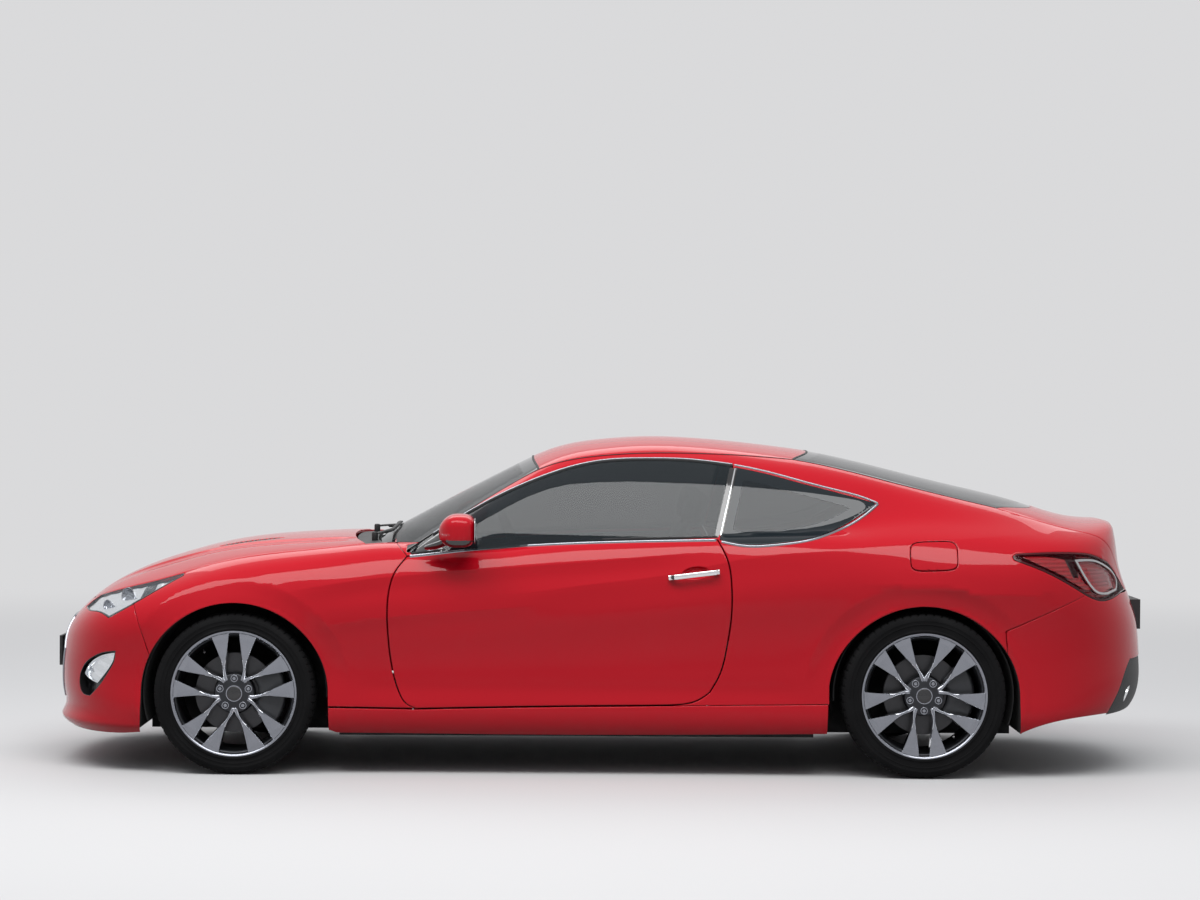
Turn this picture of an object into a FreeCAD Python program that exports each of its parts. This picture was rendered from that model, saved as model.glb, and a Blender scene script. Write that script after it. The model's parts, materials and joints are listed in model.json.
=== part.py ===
import FreeCAD, Part
import math
import os
import re
import Sketcher

# A two-door coupe, in millimetres, +X rearwards, +Y to the car's right, +Z up.
# The origin is on the ground under the middle of its length and width.

Vector = FreeCAD.Vector
doc = FreeCAD.newDocument("coupe")
sheet = doc.addObject("Spreadsheet::Sheet", "sizes")
sheet.Label = "sizes"

# Driving dimensions: name, value, what it is
SIZES = [
    ("wheelbase", 2820, "front axle to rear axle"),
    ("front_overhang", 815, "front axle to the plate holder's face"),
    ("rear_overhang", 995, "rear axle to the rear bumper's face"),
    ("body_width", 1865, "width of the body without its mirrors"),
    ("body_height", 1385, "top of the roof above the ground"),
    ("front_track", 1602, "between the middles of the front tyres"),
    ("rear_track", 1618, "between the middles of the rear tyres"),
    ("front_tyre_radius", 331.3, "outer radius of a front tyre"),
    ("rear_tyre_radius", 339.3, "outer radius of a rear tyre"),
    ("front_tyre_width", 225, "section width of a front tyre"),
    ("rear_tyre_width", 245, "section width of a rear tyre"),
    ("rim_radius", 241.3, "bead seat radius of a rim"),
    ("rim_lip", 17, "height of a rim flange"),
    ("rim_wall", 12, "thickness of a rim barrel"),
    ("spoke_depth", 34, "axial depth of a spoke at the rim"),
    ("hub_radius", 78, "radius of the rim's centre"),
    ("arch_gap", 41, "front tyre to the edge of its arch"),
    ("rear_arch_gap", 27, "rear tyre to the edge of its arch"),
    ("shut_gap", 6, "gap round a door or a lid"),
    ("skin", 14, "thickness of an outer panel"),
    ("side_wall", 30, "thickness of the body side"),
    ("door_depth", 84, "thickness of a whole door"),
    ("roof_depth", 26, "thickness of the roof"),
    ("lid_depth", 20, "thickness of the hood and the trunk lid"),
    ("glass", 6, "thickness of a window"),
    ("sill_depth", 230, "width of a sill before its inner face is cut flat"),
    ("sill_face", 187.5, "inner face of a sill inside the body's width"),
    ("seat_gap", 0.3, "clearance between pieces that sit on each other"),
    ("floor_height", 150, "underside of the floor above the ground"),
    ("floor_thickness", 26, "thickness of the floor"),
    ("tunnel_half", 120, "half width of the tunnel"),
    ("kingpin_offset", 38, "steering axis inboard of the tyre's middle"),
    ("disc_radius", 168, "radius of a brake disc"),
    ("disc_thickness", 28, "thickness of a brake disc"),
    ("engine_base", 230, "underside of the engine above the ground"),
    ("arm_half_width", 18, "half width of a suspension arm"),
    ("arm_height", 120, "suspension arms above and below the axle"),
    ("arm_length", 400, "suspension arms inboard of the tyre's middle"),
    ("spindle_radius", 22, "radius of a wheel spindle"),
    ("spindle_fit", 0.08, "clearance round a wheel spindle"),
    ("disc_place", 20, "brake disc outboard of the tyre's middle"),
    ("caliper_reach", 195, "caliper behind the axle"),
    ("liner_thickness", 5, "thickness of an arch liner"),
    ("pipe_radius", 32, "radius of the exhaust pipe"),
    ("tip_radius", 42, "radius of an exhaust tip"),
    ("plate_width", 520, "width of a number plate's holder"),
    ("plate_height", 126, "height of a number plate's holder"),
    ("steering_wheel_radius", 182, "middle of the steering wheel's rim"),
    ("steering_rim_radius", 15, "section radius of the steering wheel's rim"),
    ("seat_width", 500, "width of a front seat"),
]
for row, (alias, number, meaning) in enumerate(SIZES, start=1):
    sheet.set("A%d" % row, alias)
    sheet.set("B%d" % row, str(number))
    sheet.set("C%d" % row, meaning)
    sheet.setAlias("B%d" % row, alias)
doc.recompute()


def bound(text):
    """The same expression with every size read from the sheet."""
    return re.sub(r"[a-z][a-z_]+", lambda found: "sizes." + found.group(0), text)


def value(text):
    """The number that an expression of the sheet's sizes gives now."""
    return float(sheet.evalExpression(bound(text)))


LENGTH = "(front_overhang + wheelbase + rear_overhang)"
FRONT_AXLE = "(front_overhang - %s / 2)" % LENGTH
REAR_AXLE = "(front_overhang + wheelbase - %s / 2)" % LENGTH

# The body's form, drawn for the sizes below and stretched to those of the sheet:
# x runs rearwards from the front axle, z up from the ground
FORM_WHEELBASE = 2820.0
FORM_FRONT = 815.0
FORM_REAR = 995.0
FORM_WIDTH = 1865.0
NOSE_START = -230.0
NOSE_POWER = 2.45
TAIL_START = 3130.0
TAIL_POWER = 2.7
BELT = 950.0

# x, height of the hood, shoulder and deck at the middle, drop at y = 720, blend into the side
DECK = [
    (-900, 430, 120, 70), (-800, 565, 112, 80), (-740, 628, 104, 90), (-648, 710, 92, 120), (-505, 792, 82, 170),
    (-327, 856, 72, 220), (-149, 905, 56, 240), (118, 944, 42, 240), (403, 960, 30, 220), (640, 972, 26, 170),
    (900, 976, 44, 110), (1324, 988, 28, 90), (1680, 1003, 24, 90), (1965, 1014, 22, 100), (2300, 1032, 26, 140),
    (2641, 1052, 36, 200), (3000, 1066, 50, 220), (3363, 1068, 60, 200), (3608, 1042, 60, 120), (3700, 1036, 60, 70),
    (3900, 1030, 60, 50),
]
# x, greatest half width, lift of the widest line
PLAN = [
    (-900, 905, -30), (-380, 905, -20), (0, 930, 0), (400, 908, 5), (640, 896, 10), (1100, 898, 30), (1500, 902, 50),
    (1965, 912, 80), (2400, 928, 105), (2820, 934, 120), (3250, 925, 110), (3560, 905, 90), (3900, 880, 70),
]
# z, how far the side lies inside the greatest half width
SECTION = [
    (120, 80), (170, 34), (215, 12), (260, 5), (320, 9), (400, 16), (480, 15), (560, 7), (620, 1), (660, 0), (720, 4),
    (790, 17), (850, 36), (910, 62), (980, 105), (1100, 200),
]
# z, x of the nose
NOSE = [
    (120, -700), (155, -770), (190, -808), (225, -800), (250, -794), (302, -801), (368, -807), (430, -807),
    (500, -800), (560, -787), (620, -768), (700, -735), (850, -680), (1100, -600),
]
# z, x of the tail
TAIL = [
    (150, 3600), (200, 3690), (248, 3762), (300, 3800), (351, 3815), (481, 3815), (560, 3809), (640, 3795),
    (700, 3775), (760, 3752), (850, 3722), (925, 3712), (1034, 3697), (1150, 3680),
]
# x, height of the windshield, roof and backlight at the middle, half width of the cabin at the belt
ROOF = [
    (400, 868, 740), (543, 948, 768), (800, 1090, 792), (1100, 1246, 800), (1204, 1297, 802), (1318, 1340, 803),
    (1508, 1373, 804), (1697, 1385, 804), (1886, 1380, 802), (2075, 1365, 799), (2264, 1344, 793), (2383, 1328, 788),
    (2548, 1296, 778), (2802, 1235, 758), (2996, 1182, 738), (3241, 1110, 706), (3363, 1070, 690), (3600, 990, 655),
]
FORM_HEIGHT = max(height for _, height, _ in ROOF)
# x, blend between the cabin and the body below it
CABIN_BLEND = [(0, 8), (2200, 8), (2450, 60), (2700, 200), (3000, 260), (3300, 200), (3500, 80), (3800, 40)]


def smooth_line(rows, column=1):
    """A natural cubic through the named column of a table, straight beyond its ends."""
    xs = [float(row[0]) for row in rows]
    ys = [float(row[column]) for row in rows]
    count = len(xs)
    steps = [xs[i + 1] - xs[i] for i in range(count - 1)]
    bends = [0.0] * count
    upper = [0.0] * count
    for i in range(1, count - 1):
        left, right = steps[i - 1], steps[i]
        load = 6 * ((ys[i + 1] - ys[i]) / right - (ys[i] - ys[i - 1]) / left)
        pivot = 2 * (left + right) - left * upper[i - 1]
        upper[i] = right / pivot
        bends[i] = (load - left * bends[i - 1]) / pivot
    for i in range(count - 2, 0, -1):
        bends[i] -= upper[i] * bends[i + 1]
    start = (ys[1] - ys[0]) / steps[0] - steps[0] * bends[1] / 6
    end = (ys[-1] - ys[-2]) / steps[-1] + steps[-1] * bends[-2] / 6

    def line(x):
        if x <= xs[0]:
            return ys[0] + start * (x - xs[0])
        if x >= xs[-1]:
            return ys[-1] + end * (x - xs[-1])
        i = 0
        while x > xs[i + 1]:
            i += 1
        h = steps[i]
        u, v = xs[i + 1] - x, x - xs[i]
        cubic = (bends[i] * u ** 3 + bends[i + 1] * v ** 3) / (6 * h)
        return cubic + (ys[i] / h - bends[i] * h / 6) * u + (ys[i + 1] / h - bends[i + 1] * h / 6) * v

    return line


deck_height = smooth_line(DECK)
deck_drop = smooth_line(DECK, 2)
deck_blend = smooth_line(DECK, 3)
plan_width = smooth_line(PLAN)
plan_lift = smooth_line(PLAN, 2)
section_inset = smooth_line(SECTION)
nose_x = smooth_line(NOSE)
tail_x = smooth_line(TAIL)
roof_height = smooth_line(ROOF)
cabin_width = smooth_line(ROOF, 2)
cabin_blend = smooth_line(CABIN_BLEND)


def limited(number, low, high):
    return max(low, min(high, number))


def eased(number):
    share = limited(number, 0.0, 1.0)
    return share * share * (3 - 2 * share)


def blended_max(a, b, reach):
    """The larger of two values, with a round of the given reach where they are close."""
    apart = abs(a - b)
    near = max(0.0, 1 - apart / reach)
    return (a + b + apart) / 2 + reach / 6 * near ** 3


def half_width(x, z):
    lifted = z - plan_lift(x) * eased((z - 280) / 360)
    return max(50.0, plan_width(x) - section_inset(lifted))


def lower_form(x, y, z):
    """Signed distance-like value of the body below the belt, negative inside."""
    y = abs(y)
    width = half_width(x, z)
    along, power = 0.0, TAIL_POWER
    if x < NOSE_START:
        along, power = (NOSE_START - x) / (NOSE_START - nose_x(z)), NOSE_POWER
    elif x > TAIL_START:
        along = (x - TAIL_START) / (tail_x(z) - TAIL_START)
    reach = (along ** power + (y / width) ** power) ** (1 / power)
    top = z - deck_height(x) + deck_drop(x) * (y / 720) ** 2.2
    return blended_max((reach - 1) * width, top, limited(deck_blend(x), 30, 400))


def upper_form(x, y, z):
    """The same for the cabin above the belt."""
    y = abs(y)
    rise = limited(z - BELT, -200, 600)
    side = y - cabin_width(x) + 0.40 * rise + 0.00055 * rise * abs(rise)
    sweep = 0.00017 * eased((1500 - x) / 900)
    top = z - roof_height(x - sweep * y * y) + 0.00015 * y * y
    cabin = blended_max(side, top, 130)
    return max(cabin, x - 3560, 420 - x, 880 - z)


def form(x, y, z):
    low, high = lower_form(x, y, z), upper_form(x, y, z)
    reach = limited(cabin_blend(x), 8, 400)
    apart = abs(low - high)
    return (low + high - apart) / 2 - reach / 6 * max(0.0, 1 - apart / reach) ** 3


def surface(start, way, near, far, shape=form):
    """Where the ray from start along way leaves the form, and the way back in."""
    for _ in range(22):
        middle = (near + far) / 2
        if shape(*[s + middle * w for s, w in zip(start, way)]) < 0:
            near = middle
        else:
            far = middle
    return [s + near * w for s, w in zip(start, way)], [-w for w in way]


def stretched(x, y, z):
    """A place of the drawn form, on the car with the sheet's sizes."""
    if x < 0:
        x = x * value("front_overhang") / FORM_FRONT
    elif x < FORM_WHEELBASE:
        x = x * value("wheelbase") / FORM_WHEELBASE
    else:
        x = value("wheelbase") + (x - FORM_WHEELBASE) * value("rear_overhang") / FORM_REAR
    return Vector(x + value(FRONT_AXLE), y * value("body_width") / FORM_WIDTH, z * value("body_height") / FORM_HEIGHT)


def tall(number):
    """A drawn height, as an expression that follows the body's height."""
    return "(%g * body_height / %g)" % (number, FORM_HEIGHT)


# Charts: each gives the point of the form that two numbers name, and the way into the body
def side_chart(x, z):
    return surface((x, 0, z), (0, -1, 0), 150, 1100, lower_form)


def body_chart(x, z):
    return surface((x, 0, z), (0, -1, 0), 150, 1100)


def top_chart(x, y):
    return surface((x, y, 250), (0, 0, 1), 0, 1400, lower_form)


def glass_side_chart(x, z):
    return surface((x, 0, z), (0, -1, 0), 150, 1100, upper_form)


def cabin_top_chart(x, y):
    return surface((x, y, 885), (0, 0, 1), 0, 800)


RING_Y, RING_Z = -200.0, 560.0


def ring_chart(x, degrees):
    angle = math.radians(degrees)
    return surface((x, RING_Y, RING_Z), (0, -math.cos(angle), math.sin(angle)), 20, 1300)


def nose_chart(degrees, z):
    angle = math.radians(degrees)
    return surface((NOSE_START, 0, z), (-math.cos(angle), math.sin(angle), 0), 50, 1200, lower_form)


def tail_chart(degrees, z):
    angle = math.radians(degrees)
    return surface((TAIL_START, 0, z), (math.cos(angle), math.sin(angle), 0), 50, 1200, lower_form)


def spread(low, high, count):
    return [low + (high - low) * i / (count - 1) for i in range(count)]


def spline_poles(points):
    """The poles of an even cubic spline through the points, with free ends."""
    last = len(points) - 1
    pulls = [(points[1] - points[0]) * 3]
    pulls += [(points[i + 1] - points[i - 1]) * 3 for i in range(1, last)]
    pulls.append((points[last] - points[last - 1]) * 3)
    pivots = [2.0]
    for i in range(1, last + 1):
        middle = 2.0 if i == last else 4.0
        pivots.append(middle - 1 / pivots[-1])
        pulls[i] = pulls[i] - pulls[i - 1] * (1 / pivots[i - 1])
    slopes = [pulls[last] * (1 / pivots[last])]
    for i in range(last - 1, -1, -1):
        slopes.insert(0, (pulls[i] - slopes[0]) * (1 / pivots[i]))
    poles = [points[0]]
    for i in range(last):
        poles.append(points[i] + slopes[i] * (1 / 3))
        poles.append(points[i + 1] - slopes[i + 1] * (1 / 3))
    return poles + [points[last]]


def smooth_face(points, inset):
    """A smooth surface through a grid of the form's points, each moved inwards by the inset."""
    rows = []
    for line in points:
        rows.append(spline_poles([stretched(*[p + inset * w for p, w in zip(point, way)]) for point, way in line]))
    columns = [spline_poles([row[k] for row in rows]) for k in range(len(rows[0]))]
    poles = [[column[k] for column in columns] for k in range(len(columns[0]))]
    firsts, seconds = len(points), len(points[0])
    patch = Part.BSplineSurface()
    patch.buildFromPolesMultsKnots(
        poles, [4] + [2] * (firsts - 2) + [4], [4] + [2] * (seconds - 2) + [4],
        [float(i) for i in range(firsts)], [float(i) for i in range(seconds)], False, False, 3, 3)
    return patch


def closed_sheet(points, outside, inside):
    """A sheet of the form between two insets, closed by ruled sides."""
    outer, inner = smooth_face(points, outside), smooth_face(points, inside)
    faces = [outer.toShape(), inner.toShape()]
    low_u, high_u, low_v, high_v = outer.bounds()
    in_low_u, in_high_u, in_low_v, in_high_v = inner.bounds()
    rims = [
        (outer.uIso(low_u), inner.uIso(in_low_u)), (outer.uIso(high_u), inner.uIso(in_high_u)),
        (outer.vIso(low_v), inner.vIso(in_low_v)), (outer.vIso(high_v), inner.vIso(in_high_v)),
    ]
    for near, far in rims:
        faces.append(Part.makeRuledSurface(near.toShape(), far.toShape()))
    shell = Part.makeShell(faces)
    shell.sewShape()
    solid = Part.makeSolid(shell)
    if solid.Volume < 0:
        solid.reverse()
    return solid


def slab(chart, firsts, seconds, outside, inside):
    """The sheet over a rectangle of the chart's two numbers."""
    return closed_sheet([[chart(a, b) for b in seconds] for a in firsts], outside, inside)


def traced(points):
    """A smooth curve through the points, as a function from 0 at the first to 1 at the last."""
    lengths = [0.0]
    for a, b in zip(points, points[1:]):
        lengths.append(lengths[-1] + math.hypot(b[0] - a[0], b[1] - a[1]))
    shares = [length / lengths[-1] for length in lengths]
    first = smooth_line([(share, point[0]) for share, point in zip(shares, points)])
    second = smooth_line([(share, point[1]) for share, point in zip(shares, points)])
    return lambda share: (first(share), second(share))


def cover(chart, runs, across, up, outside, inside):
    """The sheet inside an outline of four runs in a loop, with so many points across and up."""
    bottom, end, top, start = traced(runs[0]), traced(runs[1]), traced(runs[2][::-1]), traced(runs[3][::-1])
    corners = [bottom(0), bottom(1), top(0), top(1)]
    points = []
    for u in spread(0, 1, across):
        line = []
        for v in spread(0, 1, up):
            place = []
            for k in (0, 1):
                sides = (1 - v) * bottom(u)[k] + v * top(u)[k] + (1 - u) * start(v)[k] + u * end(v)[k]
                low = (1 - u) * corners[0][k] + u * corners[1][k]
                high = (1 - u) * corners[2][k] + u * corners[3][k]
                flat = (1 - v) * low + v * high
                place.append(sides - flat)
            line.append(chart(*place))
        points.append(line)
    return closed_sheet(points, outside, inside)


def flat_points(runs):
    """All the points of an outline's runs, once each, with the place where each run starts."""
    points, starts = [], []
    for run in runs:
        starts.append(len(points))
        points += run[:-1]
    return points, starts


def grown(runs, distance):
    """The outline moved outwards by a distance, or inwards by a negative one."""
    points, starts = flat_points(runs)
    count = len(points)
    area = sum(points[i - 1][0] * points[i][1] - points[i][0] * points[i - 1][1] for i in range(count))
    turn = 1 if area > 0 else -1
    moved = []
    for i in range(count):
        ways = []
        for a, b in ((points[i - 1], points[i]), (points[i], points[(i + 1) % count])):
            size = math.hypot(b[0] - a[0], b[1] - a[1])
            ways.append(((b[1] - a[1]) / size * turn, (a[0] - b[0]) / size * turn))
        mid = (ways[0][0] + ways[1][0], ways[0][1] + ways[1][1])
        scale = 2 / max(0.35, mid[0] ** 2 + mid[1] ** 2)
        moved.append((points[i][0] + distance * scale * mid[0], points[i][1] + distance * scale * mid[1]))
    result = []
    for run, start in zip(runs, starts):
        result.append([moved[(start + k) % count] for k in range(len(run))])
    return result


def prism(runs, place, way):
    """The outline's wire, placed by a function of its two numbers, and pushed along a way."""
    edges = []
    for run in runs:
        points = [place(a, b) for a, b in run]
        if len(points) == 2:
            edges.append(Part.makeLine(points[0], points[1]))
        else:
            curve = Part.BSplineCurve()
            curve.interpolate(points)
            edges.append(curve.toShape())
    return Part.Face(Part.Wire(edges)).extrude(way)


REACH = 1300.0


def beside(x, z, y):
    """A drawn place seen from the side, at a real distance y from the middle."""
    place = stretched(x, 0, z)
    return Vector(place.x, y, place.z)


def side_prism(runs, inner_y=-20.0):
    return prism(runs, lambda x, z: beside(x, z, -REACH), Vector(0, REACH + inner_y, 0))


def top_prism(runs, low=100.0):
    return prism(runs, lambda x, y: Vector(stretched(x, y, 0).x, stretched(x, y, 0).y, low), Vector(0, 0, 1600))


def front_prism(runs, x_from, x_to):
    start, end = stretched(x_from, 0, 0).x, stretched(x_to, 0, 0).x
    way = Vector(end - start, 0, 0)
    return prism(runs, lambda y, z: Vector(start, stretched(0, y, z).y, stretched(0, y, z).z), way)


def largest(shape):
    """The biggest solid of a shape, without the chips that a cut leaves."""
    return max(shape.Solids, key=lambda solid: solid.Volume)


def mirrored(shape):
    return shape.mirror(Vector(0, 0, 0), Vector(0, 1, 0))


def both_sides(shape):
    return Part.makeCompound([shape, mirrored(shape)])


PARTS = []


def keep(item, label):
    """Marks a document object as a sub-part under its own label."""
    item.Label = label
    PARTS.append(item)
    return item


def shaped(label, shape):
    """A sub-part whose curved shape is made by the functions above."""
    item = doc.addObject("Part::Feature", label)
    item.Shape = shape
    item.Placement = FreeCAD.Placement()
    return keep(item, label)


# Outlines on the drawn form: runs of (x, z) seen from the side, or of (x, y) seen from above;
# a run of two points is straight, and a longer one is a curve
BELT_LINE = [(700, 894), (937, 918), (1324, 948), (1680, 962), (1974, 970)]
DOOR_SILL = [
    (746, 273), (1050, 281), (1332, 287), (1600, 291), (1770, 294), (1840, 299), (1892, 313), (1944, 347),
]
DOOR_FRONT = [
    (700, 894), (652, 828), (630, 759), (623, 673), (628, 559), (643, 444), (672, 341), (706, 290), (746, 273),
]
DOOR_REAR = [(1944, 347), (1986, 425), (2012, 529), (2030, 660), (2030, 790), (2017, 878), (1974, 970)]
DOOR = [DOOR_SILL, DOOR_REAR, BELT_LINE[::-1], DOOR_FRONT]
PILLAR_EDGE = [
    (700, 909), (846, 1012), (947, 1067), (1053, 1126), (1256, 1217), (1370, 1255), (1522, 1284), (1685, 1291),
    (1860, 1288), (2044, 1268),
]
SIDE_GLASS = [
    [(x, z - 6) for x, z in BELT_LINE], [(1974, 964), (2044, 1268)], PILLAR_EDGE[::-1], [(700, 909), (700, 888)],
]
QUARTER_GLASS = [
    [(1982, 970), (2082, 953), (2216, 958), (2441, 1003), (2632, 1110)],
    [(2632, 1110), (2632, 1122)],
    [(2632, 1122), (2470, 1166), (2315, 1205), (2190, 1238), (2052, 1266)],
    [(2052, 1266), (1982, 970)],
]
FUEL_FLAP = [
    [(2760, 851), (2953, 857)], [(2953, 857), (2953, 970)], [(2953, 970), (2760, 964)], [(2760, 964), (2760, 851)],
]
FLAP_SEAT = [
    [(2795, 880), (2835, 881)], [(2835, 881), (2835, 941)], [(2835, 941), (2795, 940)], [(2795, 940), (2795, 880)],
]
HEADLAMP_NOSE = [(-674, 636), (-620, 628), (-537, 623), (-420, 655)]
HEADLAMP_WING = [(-420, 655), (-310, 725), (-222, 806)]
HEADLAMP = [
    HEADLAMP_NOSE,
    HEADLAMP_WING,
    [(-222, 806), (-222, 812)],
    [(-222, 812), (-360, 800), (-498, 756), (-600, 702), (-674, 646)],
    [(-674, 646), (-674, 636)],
]
FOG_POCKET = [
    [(-579, 345), (-493, 497)], [(-493, 497), (-660, 414)], [(-660, 414), (-668, 300)], [(-668, 300), (-579, 345)],
]
TAIL_LAMP_SIDE = [(3196, 915), (3330, 848), (3488, 756)]
TAIL_LAMP_CORNER = [(3488, 756), (3561, 727), (3674, 747)]
TAIL_LAMP = [
    TAIL_LAMP_SIDE,
    TAIL_LAMP_CORNER,
    [(3674, 747), (3760, 752)],
    [(3760, 752), (3760, 866)],
    [(3760, 866), (3611, 866)],
    [(3611, 866), (3530, 906), (3458, 923), (3330, 926), (3196, 921)],
    [(3196, 921), (3196, 915)],
]
SILL = [
    [(300, 278), (746, 267)], [(746, 267), (1332, 281), (1830, 288)], [(1830, 288), (2520, 300)],
    [(2520, 300), (2520, 182)],
    [(2520, 182), (1400, 168), (420, 172)], [(420, 172), (300, 215)], [(300, 215), (300, 278)],
]
FENDER = [
    [(-222, 812), (-222, 806)], HEADLAMP_WING[::-1],
    [(-420, 655), (-330, 440)], [(-330, 440), (-330, 290)], [(-330, 290), (746, 273)],
    DOOR_FRONT[::-1],
    [(700, 894), (640, 960)], [(640, 960), (640, 1100)], [(640, 1100), (-222, 1100)], [(-222, 1100), (-222, 812)],
]

# Seen from above: half of the hood, windshield, roof, backlight and trunk lid, on the left side
HOOD_SIDE = [
    (-606, -455), (-560, -530), (-480, -610), (-360, -690), (-222, -742), (0, -748), (300, -732), (525, -706),
]
HOOD_FRONT = [(-606, -455), (-650, -340), (-668, -200), (-672, 0)]
HOOD_REAR = [(525, -706), (480, -500), (452, -250), (446, 0)]
COWL_REAR = [(612, -712), (574, -540), (550, -300), (543, 0)]
SCREEN_SIDE = [(612, -712), (800, -676), (1000, -630), (1235, -580)]
ROOF_FRONT = [(1235, -580), (1210, -300), (1204, 0)]
ROOF_SIDE = [(1235, -580), (1500, -562), (1900, -548), (2300, -520)]
ROOF_REAR = [(2300, -520), (2372, -260), (2387, 0)]
BACKLIGHT_SIDE = [(2300, -520), (2600, -560), (2900, -590), (3142, -612)]
BACKLIGHT_REAR = [(3142, -612), (3270, -440), (3345, -220), (3363, 0)]


half_gap = value("shut_gap") / 2
arch = {
    "front": (value(FRONT_AXLE), value("front_tyre_radius"), value("front_tyre_radius + arch_gap")),
    "rear": (value(REAR_AXLE), value("rear_tyre_radius"), value("rear_tyre_radius + rear_arch_gap")),
}


def arch_cutter(which):
    x, z, radius = arch[which]
    return Part.makeCylinder(radius, REACH - 480, Vector(x, -REACH, z), Vector(0, 1, 0))


def across(run):
    """A run from the left side to the middle, and on to the right side."""
    return run + [(x, -y) for x, y in run[::-1][1:]]


def plan(front, side, rear):
    """A four-run outline seen from above: front and rear run from left to middle, side from front to rear."""
    right = [(x, -y) for x, y in side]
    return [across(front), right, across(rear)[::-1], side[::-1]]


# Trunk lid: the deck and the upper part of the tail, on rays from an axis across the trunk
LID_X, LID_Z = 3050.0, 600.0
LID_RAY = 600.0
LID_ROOM = 90.0


def lid_chart(y, arc):
    """The form at y, on the ray that stands for so long an arc above the horizontal."""
    return surface((LID_X, y, LID_Z), (math.cos(arc / LID_RAY), 0, math.sin(arc / LID_RAY)), 20, 1000)


def lid_place(x, y):
    """The lid's numbers for a place on the deck seen from above."""
    point, _ = cabin_top_chart(x, y)
    return y, LID_RAY * math.atan2(point[2] - LID_Z, x - LID_X)


lid_front = [lid_place(x + value("shut_gap"), y) for x, y in BACKLIGHT_REAR]
LID_SIDE = [(-641, 712), (-648, 544), (-634, 440), (-600, 346), (-510, 240), (-468, 141)]
lid_left = lid_front[:1] + LID_SIDE
lid_right = [(-y, arc) for y, arc in lid_left[::-1]]
lid_bottom = [LID_SIDE[-1], (0, 131), lid_right[0]]
lid_top = [(-y, arc) for y, arc in lid_front] + lid_front[::-1][1:]
lid_outline = [lid_bottom, lid_right, lid_top, lid_left]
shaped("trunk_lid", cover(lid_chart, lid_outline, 21, 20, 0, value("lid_depth")))
lid_room = cover(lid_chart, grown(lid_outline, value("shut_gap")), 21, 20, -LID_ROOM, LID_ROOM)

TAIL_STATIONS = [3180, 3260, 3340, 3410, 3470, 3525, 3570, 3608, 3640, 3666, 3686, 3700]


# Body side: windshield pillar, roof rail, quarter panel and rear pillar in one pressing
def body_side():
    shape = slab(ring_chart, spread(600, 3100, 26) + TAIL_STATIONS, spread(-40, 74, 20), 0, value("side_wall"))
    region = [
        [(612, -1300), (612, -712)], SCREEN_SIDE, ROOF_SIDE, BACKLIGHT_SIDE,
        [(3142, -612), (3142, -400)], [(3142, -400), (3900, -400)], [(3900, -400), (3900, -1300)],
        [(3900, -1300), (612, -1300)],
    ]
    shape = shape.common(top_prism(grown(region, -half_gap)))
    shape = shape.cut(side_prism(grown(DOOR, half_gap)))
    shape = shape.cut(side_prism(grown(SIDE_GLASS, half_gap)))
    shape = shape.cut(side_prism(grown(QUARTER_GLASS, 1.5)))
    below = [[(300, 0), (300, 291)], [(300, 291), (746, 291)], [(746, 291), (700, 800)], [(700, 800), (800, 800)],
             [(800, 800), (1830, 294)], [(1830, 294), (2540, 306)], [(2540, 306), (2540, 0)], [(2540, 0), (300, 0)]]
    shape = shape.cut(side_prism(below))
    front = [[(500, 0), (500, 935)], [(500, 935), (640, 960)], [(640, 960), (705, 890)], [(705, 890), (705, 0)],
             [(705, 0), (500, 0)]]
    shape = shape.cut(side_prism(front))
    shape = shape.cut(side_prism(grown(TAIL_LAMP, 1.0)))
    behind = [[(3100, 0), (3150, 606)], [(3150, 606), (3488, 756)], TAIL_LAMP_CORNER, [(3674, 747), (4000, 762)],
              [(4000, 762), (4000, 0)], [(4000, 0), (3100, 0)]]
    shape = shape.cut(side_prism(grown(behind, 0.5))).cut(lid_room)
    shape = shape.cut(arch_cutter("rear"))
    return largest(shape)


side_panel = body_side()
pocket = cover(body_chart, grown(FUEL_FLAP, half_gap), 6, 5, -6, 22)
pocket = pocket.cut(cover(body_chart, FLAP_SEAT, 4, 4, 8.3, 30))
flap = cover(body_chart, grown(FUEL_FLAP, -half_gap), 6, 5, 0, 8)
shaped("left_body_side", side_panel.cut(pocket))
shaped("right_body_side", mirrored(side_panel))
shaped("fuel_flap", flap)

# Doors: an outer skin with a thick inner box behind it that stands back from the shut line
door = cover(side_chart, grown(DOOR, -half_gap), 16, 12, 0, value("skin"))
door = door.fuse(cover(side_chart, grown(DOOR, -26), 16, 12, value("skin / 2"), value("door_depth")))
window = cover(glass_side_chart, grown(SIDE_GLASS, -half_gap), 14, 8, 3, value("glass + 3"))
for side, turn in (("left", lambda shape: shape), ("right", mirrored)):
    shaped(side + "_door", turn(door))
    shaped(side + "_door_glass", turn(window))

quarter = cover(body_chart, QUARTER_GLASS, 10, 7, 3, value("glass + 3"))
shaped("quarter_glass", both_sides(quarter))

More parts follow.
